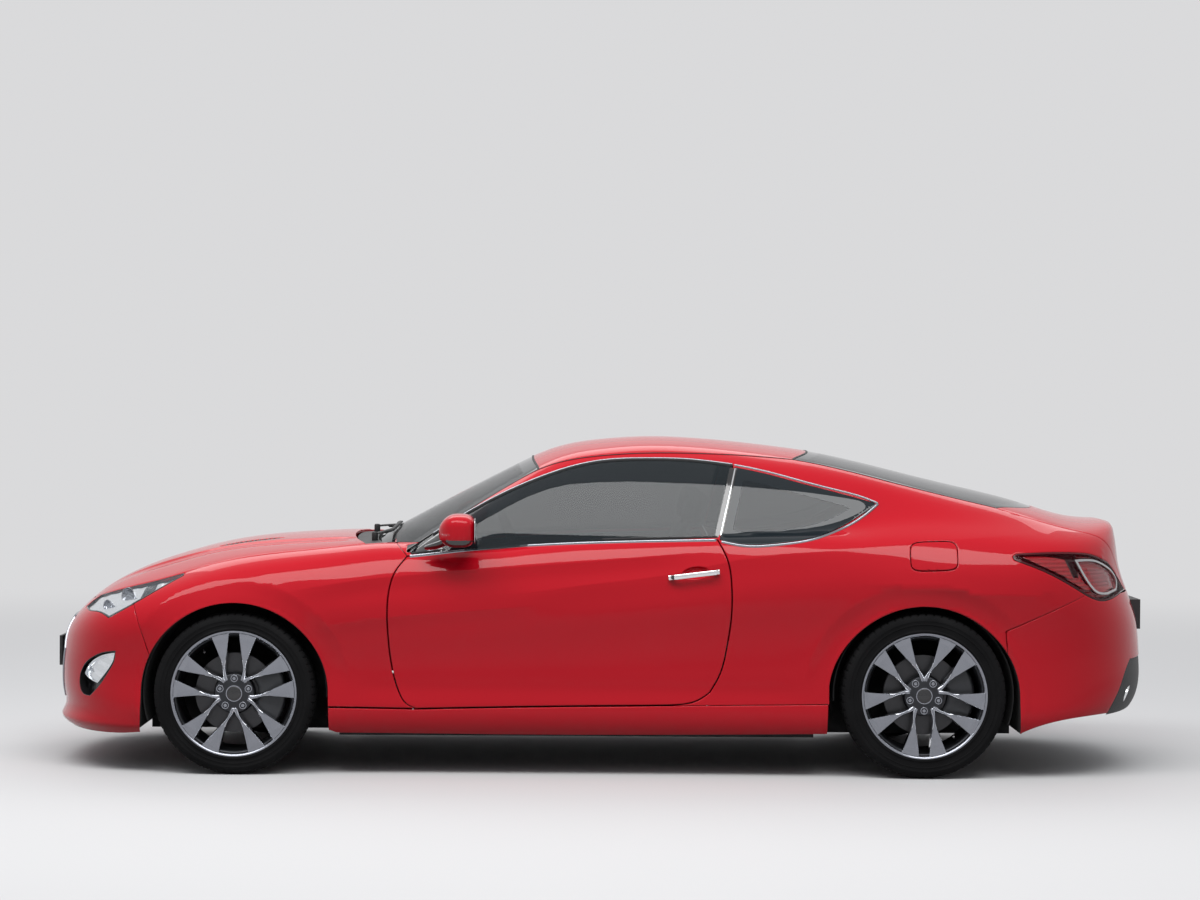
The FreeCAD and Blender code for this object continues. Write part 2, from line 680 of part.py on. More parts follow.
# Front fenders and sills
fender = slab(ring_chart, spread(-560, 720, 20), spread(-42, 72, 18), 0, value("skin"))
fender = fender.common(side_prism(grown(FENDER, -half_gap)))
hood_edge = [[(-700, -455), (-606, -455)], HOOD_SIDE, [(525, -706), (700, -706)], [(700, -706), (700, -1300)],
             [(700, -1300), (-700, -1300)], [(-700, -1300), (-700, -455)]]
fender = fender.common(top_prism(grown(hood_edge, -half_gap)))
fender = fender.cut(arch_cutter("front"))
sill = slab(side_chart, spread(290, 2530, 12), spread(160, 310, 5), 0, value("sill_depth"))
sill_face = value("body_width / 2 - sill_face")
sill = sill.common(Part.makeBox(4000, REACH - sill_face, 1000, Vector(-2000, -REACH, 0)))
sill = sill.common(side_prism(SILL)).cut(arch_cutter("front")).cut(arch_cutter("rear"))
for side, turn in (("left", lambda shape: shape), ("right", mirrored)):
    shaped(side + "_fender", turn(fender))
    shaped(side + "_sill", turn(sill))

hood = cover(top_chart, grown(plan(HOOD_FRONT, HOOD_SIDE, HOOD_REAR), -half_gap), 21, 20, 0, value("lid_depth"))
shaped("hood", hood)
COWL_SIDE = [(531, -704), (612, -712)]
cowl_front = [(531, -704), (486, -500), (458, -250), (452, 0)]
cowl_outline = grown(plan(cowl_front, COWL_SIDE, COWL_REAR), -half_gap)
shaped("cowl", cover(top_chart, cowl_outline, 17, 5, 10, 30))
cowl_room = cover(top_chart, cowl_outline, 17, 5, 10 - value("seat_gap"), 40)


def screen_chart(x, y):
    return surface((x, y, 885), (0, 0, 1), 0, 700, upper_form)


screen = cover(screen_chart, grown(plan(COWL_REAR, SCREEN_SIDE, ROOF_FRONT), -0.3), 17, 12, 0, value("glass"))
shaped("windshield", screen)
roof = cover(cabin_top_chart, grown(plan(ROOF_FRONT, ROOF_SIDE, ROOF_REAR), -0.3), 15, 12, 0, value("roof_depth"))
shaped("roof_panel", roof)
back = cover(cabin_top_chart, grown(plan(ROOF_REAR, BACKLIGHT_SIDE, BACKLIGHT_REAR), -0.3), 15, 12, 0, value("glass"))
shaped("rear_window", back)

# Bumpers, wrapped round the nose and the tail
nose_depth = value("skin + 4")
bumper = slab(nose_chart, spread(-86, 86, 27), spread(154, 690, 16), 0, nose_depth)
BUMPER_SIDE = [
    [(-900, 120), (-384, 166)], [(-384, 166), (-330, 290)], [(-330, 290), (-330, 440)], [(-330, 440), (-420, 655)],
    HEADLAMP_NOSE[::-1], [(-674, 636), (-674, 720)], [(-674, 720), (-900, 720)], [(-900, 720), (-900, 120)],
]
bumper_keep = side_prism(grown(BUMPER_SIDE, -0.5), REACH)
bumper = bumper.common(bumper_keep)
under_hood = [
    across(HOOD_FRONT), [(-606, 455), (-400, 600)], [(-400, 600), (-400, -600)], [(-400, -600), (-606, -455)],
]
bumper = bumper.cut(top_prism(grown(under_hood, half_gap), 560))
GRILLE = [
    [(-330, 612), (330, 612)], [(330, 612), (430, 470)], [(430, 470), (330, 268)], [(330, 268), (-330, 268)],
    [(-330, 268), (-430, 470)], [(-430, 470), (-330, 612)],
]
bumper = bumper.cut(front_prism(GRILLE, -900, -500))
for cutter in (side_prism(FOG_POCKET, -480), arch_cutter("front")):
    bumper = bumper.cut(cutter).cut(mirrored(cutter))
shaped("front_bumper", largest(bumper))
grille_face = nose_depth + value("seat_gap")
grille = slab(nose_chart, spread(-86, 86, 27), spread(154, 690, 16), grille_face, grille_face + 12)
shaped("grille", grille.common(front_prism(grown(GRILLE, 16), -900, -400)))
fog = slab(nose_chart, spread(-80, -30, 12), spread(270, 520, 9), 16, 50).common(side_prism(FOG_POCKET, -480))
shaped("fog_lamps", both_sides(fog))
lamp_depth = 60
headlamp = slab(ring_chart, spread(-690, -190, 16), spread(-5, 74, 16), 0, lamp_depth)
lamp_inner = [
    [(-720, -430), (-606, -455)], HOOD_SIDE[0:5], [(-222, -742), (-150, -760)], [(-150, -760), (-150, -1300)],
    [(-150, -1300), (-720, -1300)], [(-720, -1300), (-720, -430)],
]
headlamp = headlamp.common(side_prism(grown(HEADLAMP, -0.5), -300)).common(top_prism(grown(lamp_inner, -half_gap)))
shaped("headlamps", both_sides(headlamp))

tail_depth = value("skin + 4")
rear_bumper = slab(tail_chart, spread(-90, 90, 27), spread(196, 780, 14), 0, tail_depth)
REAR_BUMPER_SIDE = [
    [(3120, 150), (3228, 190)], [(3228, 190), (3614, 256)], [(3614, 256), (3900, 300)], [(3900, 300), (3900, 757)],
    [(3900, 757), (3674, 747)],
    TAIL_LAMP_CORNER[::-1], [(3488, 756), (3150, 606)], [(3150, 606), (3120, 150)],
]
rear_bumper = rear_bumper.common(side_prism(grown(REAR_BUMPER_SIDE, -0.5), REACH))
rear_bumper = rear_bumper.cut(arch_cutter("rear")).cut(mirrored(arch_cutter("rear")))
tip_x, tip_y, tip_z = 3640, 590, 290
for sign in (-1, 1):
    hole_start = stretched(tip_x - 60, sign * tip_y, tip_z)
    hole = Part.makeCylinder(value("tip_radius") + 8, 500, hole_start, Vector(1, 0, 0))
    rear_bumper = rear_bumper.cut(hole)
shaped("rear_bumper", largest(rear_bumper))
tail_lamp = slab(ring_chart, TAIL_STATIONS, spread(5, 60, 12), 0, 45)
tail_lamp = tail_lamp.common(side_prism(grown(TAIL_LAMP, -0.5), -400)).cut(lid_room)
shaped("tail_lamps", both_sides(tail_lamp))


# Plain pieces made of bound primitives
def bind(item, places):
    for name, text in places.items():
        item.setExpression(name, bound(text))


def box(name, corner, sides):
    item = doc.addObject("Part::Box", name)
    bind(item, {"Length": sides[0], "Width": sides[1], "Height": sides[2]})
    bind(item, {"Placement.Base.x": corner[0], "Placement.Base.y": corner[1], "Placement.Base.z": corner[2]})
    return item


def cylinder(name, centre, radius, height, turn=None):
    item = doc.addObject("Part::Cylinder", name)
    if turn:
        item.Placement.Rotation = FreeCAD.Rotation(*turn)
    bind(item, {"Radius": radius, "Height": height})
    bind(item, {"Placement.Base.x": centre[0], "Placement.Base.y": centre[1], "Placement.Base.z": centre[2]})
    return item


def fused(label, items):
    item = doc.addObject("Part::MultiFuse", label)
    item.Shapes = items
    return keep(item, label)


ALONG_Y = (Vector(1, 0, 0), -90)
ALONG_X = (Vector(0, 1, 0), 90)
HALF_FLOOR = "(body_width / 2 - sill_face - seat_gap)"
FLOOR_TOP = "(floor_height + floor_thickness)"
TUNNEL_TOP = "(floor_height + floor_thickness + 130)"


def floor_box(name, start, end, half, low, high):
    """A box from one x to another, of a half width about the middle, from one z to another."""
    return box(name, (start, "-" + half, low), ("%s - (%s)" % (end, start), "2 * " + half, "%s - (%s)" % (high, low)))


def floor_side(name, start):
    sides = ("wheelbase - 860", HALF_FLOOR + " - tunnel_half", "floor_thickness")
    return box(name, (FRONT_AXLE + " + 420", start, "floor_height"), sides)


def tunnel_wall(name, start):
    sides = ("wheelbase - 860", "22", TUNNEL_TOP + " - floor_height")
    return box(name, (FRONT_AXLE + " + 420", start, "floor_height"), sides)


PAN_TOP = "(%s + 180)" % FLOOR_TOP
STEP_SIDES = ("30", "640 - tunnel_half", PAN_TOP + " - floor_height")
AXLE_TOP = "(%s + 330)" % FLOOR_TOP
fused("floor_pan", [
    floor_side("left_floor", "-" + HALF_FLOOR),
    floor_side("right_floor", "tunnel_half"),
    floor_box("tunnel_top", FRONT_AXLE + " + 420", REAR_AXLE + " - 440", "tunnel_half", TUNNEL_TOP + " - 22",
              TUNNEL_TOP),
    tunnel_wall("left_tunnel_wall", "-tunnel_half"),
    tunnel_wall("right_tunnel_wall", "tunnel_half - 22"),
    box("left_seat_step", (REAR_AXLE + " - 840", "-640", "floor_height"), STEP_SIDES),
    box("right_seat_step", (REAR_AXLE + " - 840", "tunnel_half", "floor_height"), STEP_SIDES),
    floor_box("seat_pan", REAR_AXLE + " - 840", REAR_AXLE + " - 100", "520", PAN_TOP + " - 30", PAN_TOP),
    floor_box("axle_front", REAR_AXLE + " - 130", REAR_AXLE + " - 100", "520", PAN_TOP + " - 30", AXLE_TOP),
    floor_box("axle_cover", REAR_AXLE + " - 130", REAR_AXLE + " + 130", "520", AXLE_TOP + " - 26", AXLE_TOP),
    floor_box("trunk_step", REAR_AXLE + " + 100", REAR_AXLE + " + 130", "520", PAN_TOP, AXLE_TOP),
    floor_box("trunk_floor", REAR_AXLE + " + 100", REAR_AXLE + " + 850", "480", PAN_TOP, PAN_TOP + " + 30"),
    floor_box("tail_wall", REAR_AXLE + " + 820", REAR_AXLE + " + 850", "560", PAN_TOP, FLOOR_TOP + " + " + tall(520)),
])
WALL_TOP = "(%s + %s)" % (FLOOR_TOP, tall(665))
WALL_SIDES = ("25", HALF_FLOOR + " - tunnel_half - seat_gap", tall(665))
firewall_pieces = [
    box("left_dash_wall", (FRONT_AXLE + " + 420", "-" + HALF_FLOOR, FLOOR_TOP + " + seat_gap"), WALL_SIDES),
    box("right_dash_wall", (FRONT_AXLE + " + 420", "tunnel_half + seat_gap", FLOOR_TOP + " + seat_gap"), WALL_SIDES),
    floor_box("middle_dash_wall", FRONT_AXLE + " + 420", FRONT_AXLE + " + 445", "tunnel_half + 5",
              TUNNEL_TOP + " + seat_gap", WALL_TOP),
    floor_box("cowl_shelf", FRONT_AXLE + " + 420", FRONT_AXLE + " + 590", "640", WALL_TOP + " - 25", WALL_TOP),
]
hood_outline = grown(plan(HOOD_FRONT, HOOD_SIDE, HOOD_REAR), 4)
hood_room = cover(top_chart, hood_outline, 21, 20, -30, value("lid_depth + seat_gap"))
for name, post_y in (("left_hood_post", -560), ("right_hood_post", 520)):
    post = doc.addObject("Part::Feature", name)
    post_foot = Vector(value(FRONT_AXLE) + 440, post_y, value(WALL_TOP) - 10)
    post.Shape = largest(Part.makeBox(30, 40, 140, post_foot).cut(hood_room))
    firewall_pieces.append(post)
fused("firewall", firewall_pieces)
SHELF_BOTTOM = tall(930)
fused("parcel_shelf", [
    floor_box("shelf_plate", REAR_AXLE + " - 110", REAR_AXLE + " + 480", "600", SHELF_BOTTOM, SHELF_BOTTOM + " + 18"),
    floor_box("back_wall", REAR_AXLE + " - 110", REAR_AXLE + " - 90", "520", AXLE_TOP + " + seat_gap", SHELF_BOTTOM),
])
keep(box("engine", (FRONT_AXLE + " - 130", "-270", "engine_base"), ("550", "540", "500")), "engine_block")


def drawn(body, name, role, points):
    """A closed sketch of straight lines on one of the body's own planes, every corner bound to sizes."""
    plane = [feature for feature in body.Origin.OriginFeatures if feature.Role == role][0]
    sketch = body.newObject("Sketcher::SketchObject", name)
    sketch.AttachmentSupport = (plane, "")
    sketch.MapMode = "FlatFace"
    corners = [Vector(value(a), value(b), 0) for a, b in points]
    for i, corner in enumerate(corners):
        sketch.addGeometry(Part.LineSegment(corner, corners[(i + 1) % len(corners)]), False)
    for i in range(len(corners)):
        sketch.addConstraint(Sketcher.Constraint("Coincident", i, 2, (i + 1) % len(corners), 1))
    for i, (across, up) in enumerate(points):
        for kind, text, number in (("DistanceX", across, corners[i].x), ("DistanceY", up, corners[i].y)):
            index = sketch.addConstraint(Sketcher.Constraint(kind, -1, 1, i, 1, number))
            sketch.setExpression("Constraints[%d]" % index, bound(text))
    return sketch


def padded(label, role, points, length, base):
    """A body pushed both ways from a sketch, with its base point bound to sizes."""
    body = doc.addObject("PartDesign::Body", label)
    sketch = drawn(body, label + "_outline", role, points)
    pad = body.newObject("PartDesign::Pad", label + "_pad")
    pad.Profile = sketch
    pad.Midplane = True
    pad.setExpression("Length", bound(length))
    bind(body, {"Placement.Base.x": base[0], "Placement.Base.y": base[1], "Placement.Base.z": base[2]})
    return keep(body, label)


def turned(label, points, base):
    """A body turned about its own Y axis from a half section of (radius, along) corners."""
    body = doc.addObject("PartDesign::Body", label)
    sketch = drawn(body, label + "_section", "XY_Plane", points)
    solid = body.newObject("PartDesign::Revolution", label + "_turn")
    solid.Profile = sketch
    solid.ReferenceAxis = (sketch, ["V_Axis"])
    solid.Angle = 360
    bind(body, {"Placement.Base.x": base[0], "Placement.Base.y": base[1], "Placement.Base.z": base[2]})
    return body


def profile(corners):
    """Drawn corners (x, z) of a piece in the cabin, with heights that follow the body's."""
    return [("%g" % x, tall(z)) for x, z in corners]


# Cabin: dashboard, seats and steering wheel
padded("dashboard", "XZ_Plane", profile([
    (0, 0), (110, -60), (250, -70), (330, 40), (330, 150), (250, 205), (40, 225), (0, 150),
]), "1300", (FRONT_AXLE + " + 640", "0", tall(690)))
SEAT_SECTION = profile([
    (0, 0), (470, 0), (560, 60), (790, 640), (850, 850), (790, 880), (730, 860), (690, 680), (470, 190), (420, 150),
    (40, 190), (-20, 150),
])
SEAT_X = FRONT_AXLE + " + 1130"
SEAT_Z = FLOOR_TOP + " + 124"
for label, place_y in (("driver_seat", "-370"), ("passenger_seat", "370")):
    padded(label, "XZ_Plane", SEAT_SECTION, "seat_width", (SEAT_X, place_y, SEAT_Z))
padded("rear_seat", "XZ_Plane", profile([
    (0, 0), (480, 0), (700, 480), (640, 500), (590, 480), (430, 130), (40, 150), (-10, 110),
]), "920", (REAR_AXLE + " - 840", "0", PAN_TOP + " + seat_gap"))
fused("seat_rails", [
    box("rail_" + name, (FRONT_AXLE + " + 1180", rail_y + " - 20", FLOOR_TOP), ("380", "40", "123"))
    for name, rail_y in (("a", "-520"), ("b", "-220"), ("c", "220"), ("d", "520"))
])

column_tilt = 24
ring = doc.addObject("Part::Torus", "steering_ring")
bind(ring, {"Radius1": "steering_wheel_radius", "Radius2": "steering_rim_radius"})
boss = doc.addObject("Part::Cylinder", "steering_boss")
bind(boss, {"Radius": "62", "Height": "44"})
boss.Placement.Base = Vector(0, 0, -34)
bar = doc.addObject("Part::Box", "steering_bar")
bind(bar, {"Length": "36", "Width": "2 * steering_wheel_radius", "Height": "14"})
bind(bar, {"Placement.Base.x": "-18", "Placement.Base.y": "-steering_wheel_radius", "Placement.Base.z": "-7"})
leg = doc.addObject("Part::Box", "steering_leg")
bind(leg, {"Length": "steering_wheel_radius", "Width": "44", "Height": "14"})
leg.Placement.Base = Vector(0, -22, -7)
column = doc.addObject("Part::Cylinder", "steering_shaft")
bind(column, {"Radius": "16", "Height": "164"})
column.Placement.Base = Vector(0, 0, -189)
wheel_turn = FreeCAD.Rotation(Vector(0, 1, 0), 90 - column_tilt)
steering = fused("steering_wheel", [ring, boss, bar, leg, column])
steering.Placement.Rotation = wheel_turn
bind(steering, {"Placement.Base.x": FRONT_AXLE + " + 1150", "Placement.Base.y": "-370", "Placement.Base.z": tall(885)})

# Wheels: the tyre, and the rim with its spokes, bore and brake disc
CORNERS = [
    ("front_left", FRONT_AXLE, "(-front_track / 2)", "front_tyre_radius", "front_tyre_width", -1),
    ("front_right", FRONT_AXLE, "(front_track / 2)", "front_tyre_radius", "front_tyre_width", 1),
    ("rear_left", REAR_AXLE, "(-rear_track / 2)", "rear_tyre_radius", "rear_tyre_width", -1),
    ("rear_right", REAR_AXLE, "(rear_track / 2)", "rear_tyre_radius", "rear_tyre_width", 1),
]
SPOKE_PAIRS = 5


def along_body(label, points):
    """A turned body whose own Y axis points outboard, still unplaced."""
    return turned(label, points, ("0", "0", "0"))


for corner, axle_x, axle_y, radius, width, out in CORNERS:
    facing = FreeCAD.Rotation(Vector(0, 0, 1), 90 - 90 * out)
    centre = {"Placement.Base.x": axle_x, "Placement.Base.y": axle_y, "Placement.Base.z": radius}
    half = width + " / 2"
    tyre = along_body(corner + "_tyre", [
        ("rim_radius + seat_gap", "-%s + 14.5" % half), ("rim_radius + 18", "-%s + 9.5" % half),
        ("rim_radius + 28", "-%s + 3" % half), (radius + " - 34", "-%s" % half),
        (radius + " - 9", "-%s + 12" % half), (radius, "-%s + 34" % half), (radius, "%s - 34" % half),
        (radius + " - 9", "%s - 12" % half), (radius + " - 34", half), ("rim_radius + 28", "%s - 3" % half),
        ("rim_radius + 18", "%s - 9.5" % half), ("rim_radius + seat_gap", "%s - 14.5" % half),
    ])
    tyre.Placement.Rotation = facing
    bind(tyre, centre)
    keep(tyre, corner + "_tyre")

    barrel = along_body(corner + "_barrel", [
        ("rim_radius - rim_wall", "-%s + 2" % half), ("rim_radius + rim_lip", "-%s + 2" % half),
        ("rim_radius + rim_lip", "-%s + 8" % half), ("rim_radius", "-%s + 14" % half),
        ("rim_radius", "%s - 14" % half),
        ("rim_radius + rim_lip", "%s - 8" % half), ("rim_radius + rim_lip", "%s - 2" % half),
        ("rim_radius - rim_wall", "%s - 4" % half),
    ])
    star = along_body(corner + "_star", [
        ("spindle_radius + spindle_fit", "disc_place"), ("disc_radius", "disc_place"),
        ("disc_radius", "disc_place + disc_thickness"),
        ("hub_radius", "disc_place + disc_thickness"), ("hub_radius", "%s - 14" % half), ("0", "%s - 14" % half),
        ("0", "%s - 34" % half), ("spindle_radius + spindle_fit", "%s - 34" % half),
    ])
    pair = drawn(star, corner + "_spoke_pair", "XZ_Plane", [
        ("-34", "hub_radius - 24"), ("34", "hub_radius - 24"), ("92", "rim_radius - rim_wall - 10"),
        ("40", "rim_radius - rim_wall + 4"), ("0", "hub_radius + 26"), ("-40", "rim_radius - rim_wall + 4"),
        ("-92", "rim_radius - rim_wall - 10"),
    ])
    pair.setExpression("AttachmentOffset.Base.z", bound("-(%s - 6 - spoke_depth)" % half))
    pad = star.newObject("PartDesign::Pad", corner + "_spokes")
    pad.Profile = pair
    pad.Reversed = True
    pad.setExpression("Length", bound("spoke_depth"))
    star.Tip = pad
    pattern = star.newObject("PartDesign::PolarPattern", corner + "_spoke_ring")
    pattern.Originals = [pad]
    y_axis = [feature for feature in star.Origin.OriginFeatures if feature.Role == "Y_Axis"][0]
    pattern.Axis = (y_axis, [""])
    pattern.Angle = 360
    pattern.Occurrences = SPOKE_PAIRS
    star.Tip = pattern
    rim = fused(corner + "_rim", [barrel, star])
    spin = 36 if corner.startswith("rear") else 0
    rim.Placement.Rotation = facing.multiply(FreeCAD.Rotation(Vector(0, 1, 0), spin))
    bind(rim, centre)


def hub_box(name, corner, x_range, out_range, z_range):
    """A box beside a wheel: x from the axle, distance outboard of the tyre's middle, z from the axle."""
    _, axle_x, axle_y, radius, _, out = corner
    near = out_range[0] if out > 0 else "-(%s)" % out_range[1]
    start = ("%s + %s" % (axle_x, x_range[0]), "%s + %s" % (axle_y, near), "%s + %s" % (radius, z_range[0]))
    sides = ["(%s) - (%s)" % (pair[1], pair[0]) for pair in (x_range, out_range, z_range)]
    return box(name, start, sides)


def carrier(corner):
    """The upright that carries a wheel: column, bracket, spindle and brake caliper."""
    name, axle_x, axle_y, radius, _, out = corner
    inside = "(-kingpin_offset)"
    column_out = (inside + " - 22", inside + " + 22")
    column_up = ("-arm_height + seat_gap", "arm_height - seat_gap")
    column = hub_box(name + "_column", corner, ("-22", "22"), column_out, column_up)
    bracket = hub_box(name + "_bracket", corner, ("-20", "caliper_reach - 20"), (inside + " - 18", "disc_place - 8"),
                      ("-42", "42"))
    spindle_start = (axle_x, axle_y + " + (%d) * (-kingpin_offset)" % out, radius)
    spindle = cylinder(name + "_spindle", spindle_start, "spindle_radius",
                       "kingpin_offset + disc_place + disc_thickness", (Vector(1, 0, 0), -90 * out))
    caliper_box = hub_box(name + "_caliper_box", corner, ("104", "caliper_reach"),
                          ("disc_place - 16", "disc_place + disc_thickness + 14"), ("-74", "74"))
    slot = hub_box(name + "_caliper_slot", corner, ("100", "disc_radius + 7"),
                   ("disc_place - 6", "disc_place + disc_thickness + 6"), ("-80", "80"))
    caliper = doc.addObject("Part::Cut", name + "_caliper")
    caliper.Base = caliper_box
    caliper.Tool = slot
    return [column, bracket, spindle, caliper]


def arms(corner):
    """The two arms that hold an upright, inside the rim's barrel."""
    name = corner[0]
    pieces = []
    reach = ("-arm_length", "-kingpin_offset + 22")
    for place, low, high in (("lower", "-arm_height - 16", "-arm_height"), ("upper", "arm_height", "arm_height + 16")):
        label = "%s_%s_arm" % (name, place)
        pieces.append(hub_box(label, corner, ("-arm_half_width", "arm_half_width"), reach, (low, high)))
    pieces.append(hub_box(name + "_tower", corner, ("-60", "60"), ("-arm_length - 20", "-arm_length"),
                          ("-arm_height - 16", "arm_height + 16")))
    return pieces


for corner in CORNERS[:2]:
    fused(corner[0].replace("front_", "") + "_knuckle", carrier(corner))
fused("front_subframe", arms(CORNERS[0]) + arms(CORNERS[1]) + [
    floor_box("front_beam", FRONT_AXLE + " - 60", FRONT_AXLE + " + 60", "(front_track / 2 - arm_length)",
              "front_tyre_radius - arm_height - 16", "engine_base"),
])
fused("rear_subframe", arms(CORNERS[2]) + arms(CORNERS[3]) + carrier(CORNERS[2]) + carrier(CORNERS[3]) + [
    floor_box("rear_beam", REAR_AXLE + " - 60", REAR_AXLE + " + 60", "(rear_track / 2 - arm_length)",
              "rear_tyre_radius - arm_height + 8", "rear_tyre_radius - arm_height + 90"),
])

sill_front, sill_rear = stretched(290, 0, 0).x, stretched(2530, 0, 0).x
sill_top = stretched(0, 0, 314).z
liners = []
for name, inner_y, outer_y in (("front", 496, 852), ("rear", 560, 872)):
    x, z, radius = arch[name]
    start = Vector(x, -outer_y, z)
    shell = Part.makeCylinder(radius + value("liner_thickness"), outer_y - inner_y, start, Vector(0, 1, 0))
    shell = shell.cut(Part.makeCylinder(radius, outer_y - inner_y - value("liner_thickness"), start, Vector(0, 1, 0)))
    wall_hole = Part.makeBox(2 * radius + 20, 40, z + 190, Vector(x - radius - 10, -inner_y - 20, 0))
    low_half = Part.makeBox(2 * radius + 20, outer_y, 300 + z / 2, Vector(x - radius - 10, -outer_y - 1, -250))
    shell = shell.cut(low_half).cut(wall_hole)
    shell = shell.cut(Part.makeBox(sill_rear - sill_front, 200, sill_top, Vector(sill_front, -outer_y - 1, 0)))
    liners += [shell, mirrored(shell)]
shaped("arch_liners", Part.makeCompound(liners))

# Exhaust along the tunnel to the silencer, and its two tips
PIPE_Z = "(floor_height + 42)"
TIP_X, TIP_Y, TIP_Z = "(%s + 720)" % REAR_AXLE, "590", "290"
fused("exhaust", [
    cylinder("pipe", (FRONT_AXLE + " + 300", "0", PIPE_Z), "pipe_radius", "wheelbase + 160", ALONG_X),
    box("silencer", (REAR_AXLE + " + 440", "-360", "180"), ("290", "720", "150")),
    cylinder("left_tail_pipe", (REAR_AXLE + " + 640", "-" + TIP_Y, TIP_Z), "24", TIP_Y + " - 350", ALONG_Y),
    cylinder("right_tail_pipe", (REAR_AXLE + " + 640", "350", TIP_Z), "24", TIP_Y + " - 350", ALONG_Y),
    cylinder("left_tip", (REAR_AXLE + " + 610", "-" + TIP_Y, TIP_Z), "tip_radius", "320", ALONG_X),
    cylinder("right_tip", (REAR_AXLE + " + 610", TIP_Y, TIP_Z), "tip_radius", "320", ALONG_X),
])

# Plate holders, wipers, mirrors and door handles
plate_seat = slab(tail_chart, spread(-90, 90, 27), spread(196, 780, 14), -value("seat_gap"), 120)
plate_block = doc.addObject("Part::Feature", "rear_plate")
plate_corner = Vector(value(REAR_AXLE) + 914, -value("plate_width") / 2, value(tall(575)))
plate_box = Part.makeBox(80, value("plate_width"), value("plate_height"), plate_corner)
plate_block.Shape = plate_box.cut(plate_seat)
plates = [
    box("front_plate", ("-%s / 2" % LENGTH, "-plate_width / 2", tall(392)), ("12", "plate_width", "plate_height")),
    box("left_plate_bracket", ("-%s / 2 + 12" % LENGTH, "-70", tall(405)), ("13.8", "40", "40")),
    box("right_plate_bracket", ("-%s / 2 + 12" % LENGTH, "30", tall(405)), ("13.8", "40", "40")),
    plate_block,
]
fused("plate_holders", plates)
wiper_shapes = []
for root_x, root_y, tip_y in ((548, -520, 60), (520, 80, 560)):
    points = [cabin_top_chart(x, y)[0] for x, y in ((root_x, root_y), (600, (root_y + tip_y) / 2), (625, tip_y))]
    ends = [stretched(*point) + Vector(0, 0, 20) for point in points]
    for a, b in zip(ends, ends[1:]):
        wiper_shapes.append(Part.makeCylinder(9, (b - a).Length, a, b - a))
    wiper_shapes.append(Part.makeSphere(9.5, ends[1]))
    wiper_shapes.append(Part.makeCylinder(14, 36, ends[0] - Vector(0, 0, 30), Vector(0, 0, 1)))
wipers = wiper_shapes[0].fuse(wiper_shapes[1:]).cut(cowl_room)
shaped("wipers", Part.makeCompound(wipers.Solids))

MIRROR = [
    [(828, 985), (840, 935)], [(840, 935), (900, 925)], [(900, 925), (985, 940)], [(985, 940), (985, 1060)],
    [(985, 1060), (940, 1082)], [(940, 1082), (870, 1050)], [(870, 1050), (828, 985)],
]
mirror_reach = -value("body_width") / 2 - 92
mirror = prism(MIRROR, lambda x, z: beside(x, z, mirror_reach), Vector(0, 175, 0))
mirror = mirror.makeFillet(16, mirror.Edges)
SAIL = [[(706, 893), (846, 908)], [(846, 908), (850, 1006)], [(850, 1006), (706, 904)], [(706, 904), (706, 893)]]
sail = cover(glass_side_chart, SAIL, 5, 4, -4, 3 - value("seat_gap"))
mirror_arm = Part.makeBox(96, 130, 34, stretched(782, -922, 918))
pane_room = cover(glass_side_chart, SIDE_GLASS, 14, 8, 3 - value("seat_gap"), 60)
mirror = largest(mirror.fuse([sail, mirror_arm]).cut(pane_room))
HANDLE = [
    [(1769, 806), (1983, 833)], [(1983, 833), (1983, 851)], [(1983, 851), (1769, 824)], [(1769, 824), (1769, 806)],
]
handle = slab(side_chart, spread(1740, 2010, 6), spread(790, 860, 3), -30, -16).common(side_prism(HANDLE))
handle_room = slab(side_chart, spread(1740, 2010, 6), spread(790, 870, 3), -20, 0)
for x, z in ((1785, 817), (1965, 839)):
    foot = stretched(x, side_chart(x, z)[0][1] + 2, z)
    handle = handle.fuse(Part.makeCylinder(8, 34, foot, Vector(0, -1, 0)).common(handle_room))
for side, turn in (("left", lambda shape: shape), ("right", mirrored)):
    shaped(side + "_mirror", turn(mirror))
    shaped(side + "_door_handle", turn(handle))


# Check every piece, then write each to a file of its own
doc.recompute()
for item in doc.Objects:
    if "Invalid" in item.State or "Error" in item.State:
        raise RuntimeError("%s did not recompute: %s" % (item.Label, item.State))
for item in PARTS:
    if item.Shape.isNull() or not item.Shape.isValid() or not item.Shape.Solids:
        raise RuntimeError(item.Label + " has no valid solid")

os.makedirs("parts", exist_ok=True)
for item in PARTS:
    item.Shape.exportStep("parts/%s.step" % item.Label)
    bounds = item.Shape.BoundBox
    print("%-20s %2d solids %10.0f cm3  x %6.0f %6.0f  y %6.0f %6.0f  z %5.0f %5.0f" % (
        item.Label, len(item.Shape.Solids), item.Shape.Volume / 1000, bounds.XMin, bounds.XMax,
        bounds.YMin, bounds.YMax, bounds.ZMin, bounds.ZMax))
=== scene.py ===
"""A two-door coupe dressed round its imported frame: painted panels, glazing, lamps, wheels and cabin."""
import json
import math

import bpy
import numpy as np
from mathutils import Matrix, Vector
from mathutils.geometry import delaunay_2d_cdt


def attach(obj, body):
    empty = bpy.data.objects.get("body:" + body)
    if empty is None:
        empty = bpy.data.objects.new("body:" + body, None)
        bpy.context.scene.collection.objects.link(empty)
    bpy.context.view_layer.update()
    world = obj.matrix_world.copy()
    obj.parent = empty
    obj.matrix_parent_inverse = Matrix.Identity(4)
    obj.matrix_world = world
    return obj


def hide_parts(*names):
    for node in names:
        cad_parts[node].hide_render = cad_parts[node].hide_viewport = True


bl_info = {
    "name": "Coupe Car Builder",
    "version": (1, 0, 0),
    "blender": (4, 5, 0),
    "location": "View3D > Sidebar > Coupe",
    "description": "Builds the panels, glazing, lamps, wheels and cabin of a two-door coupe on its frame",
    "category": "Add Mesh",
}

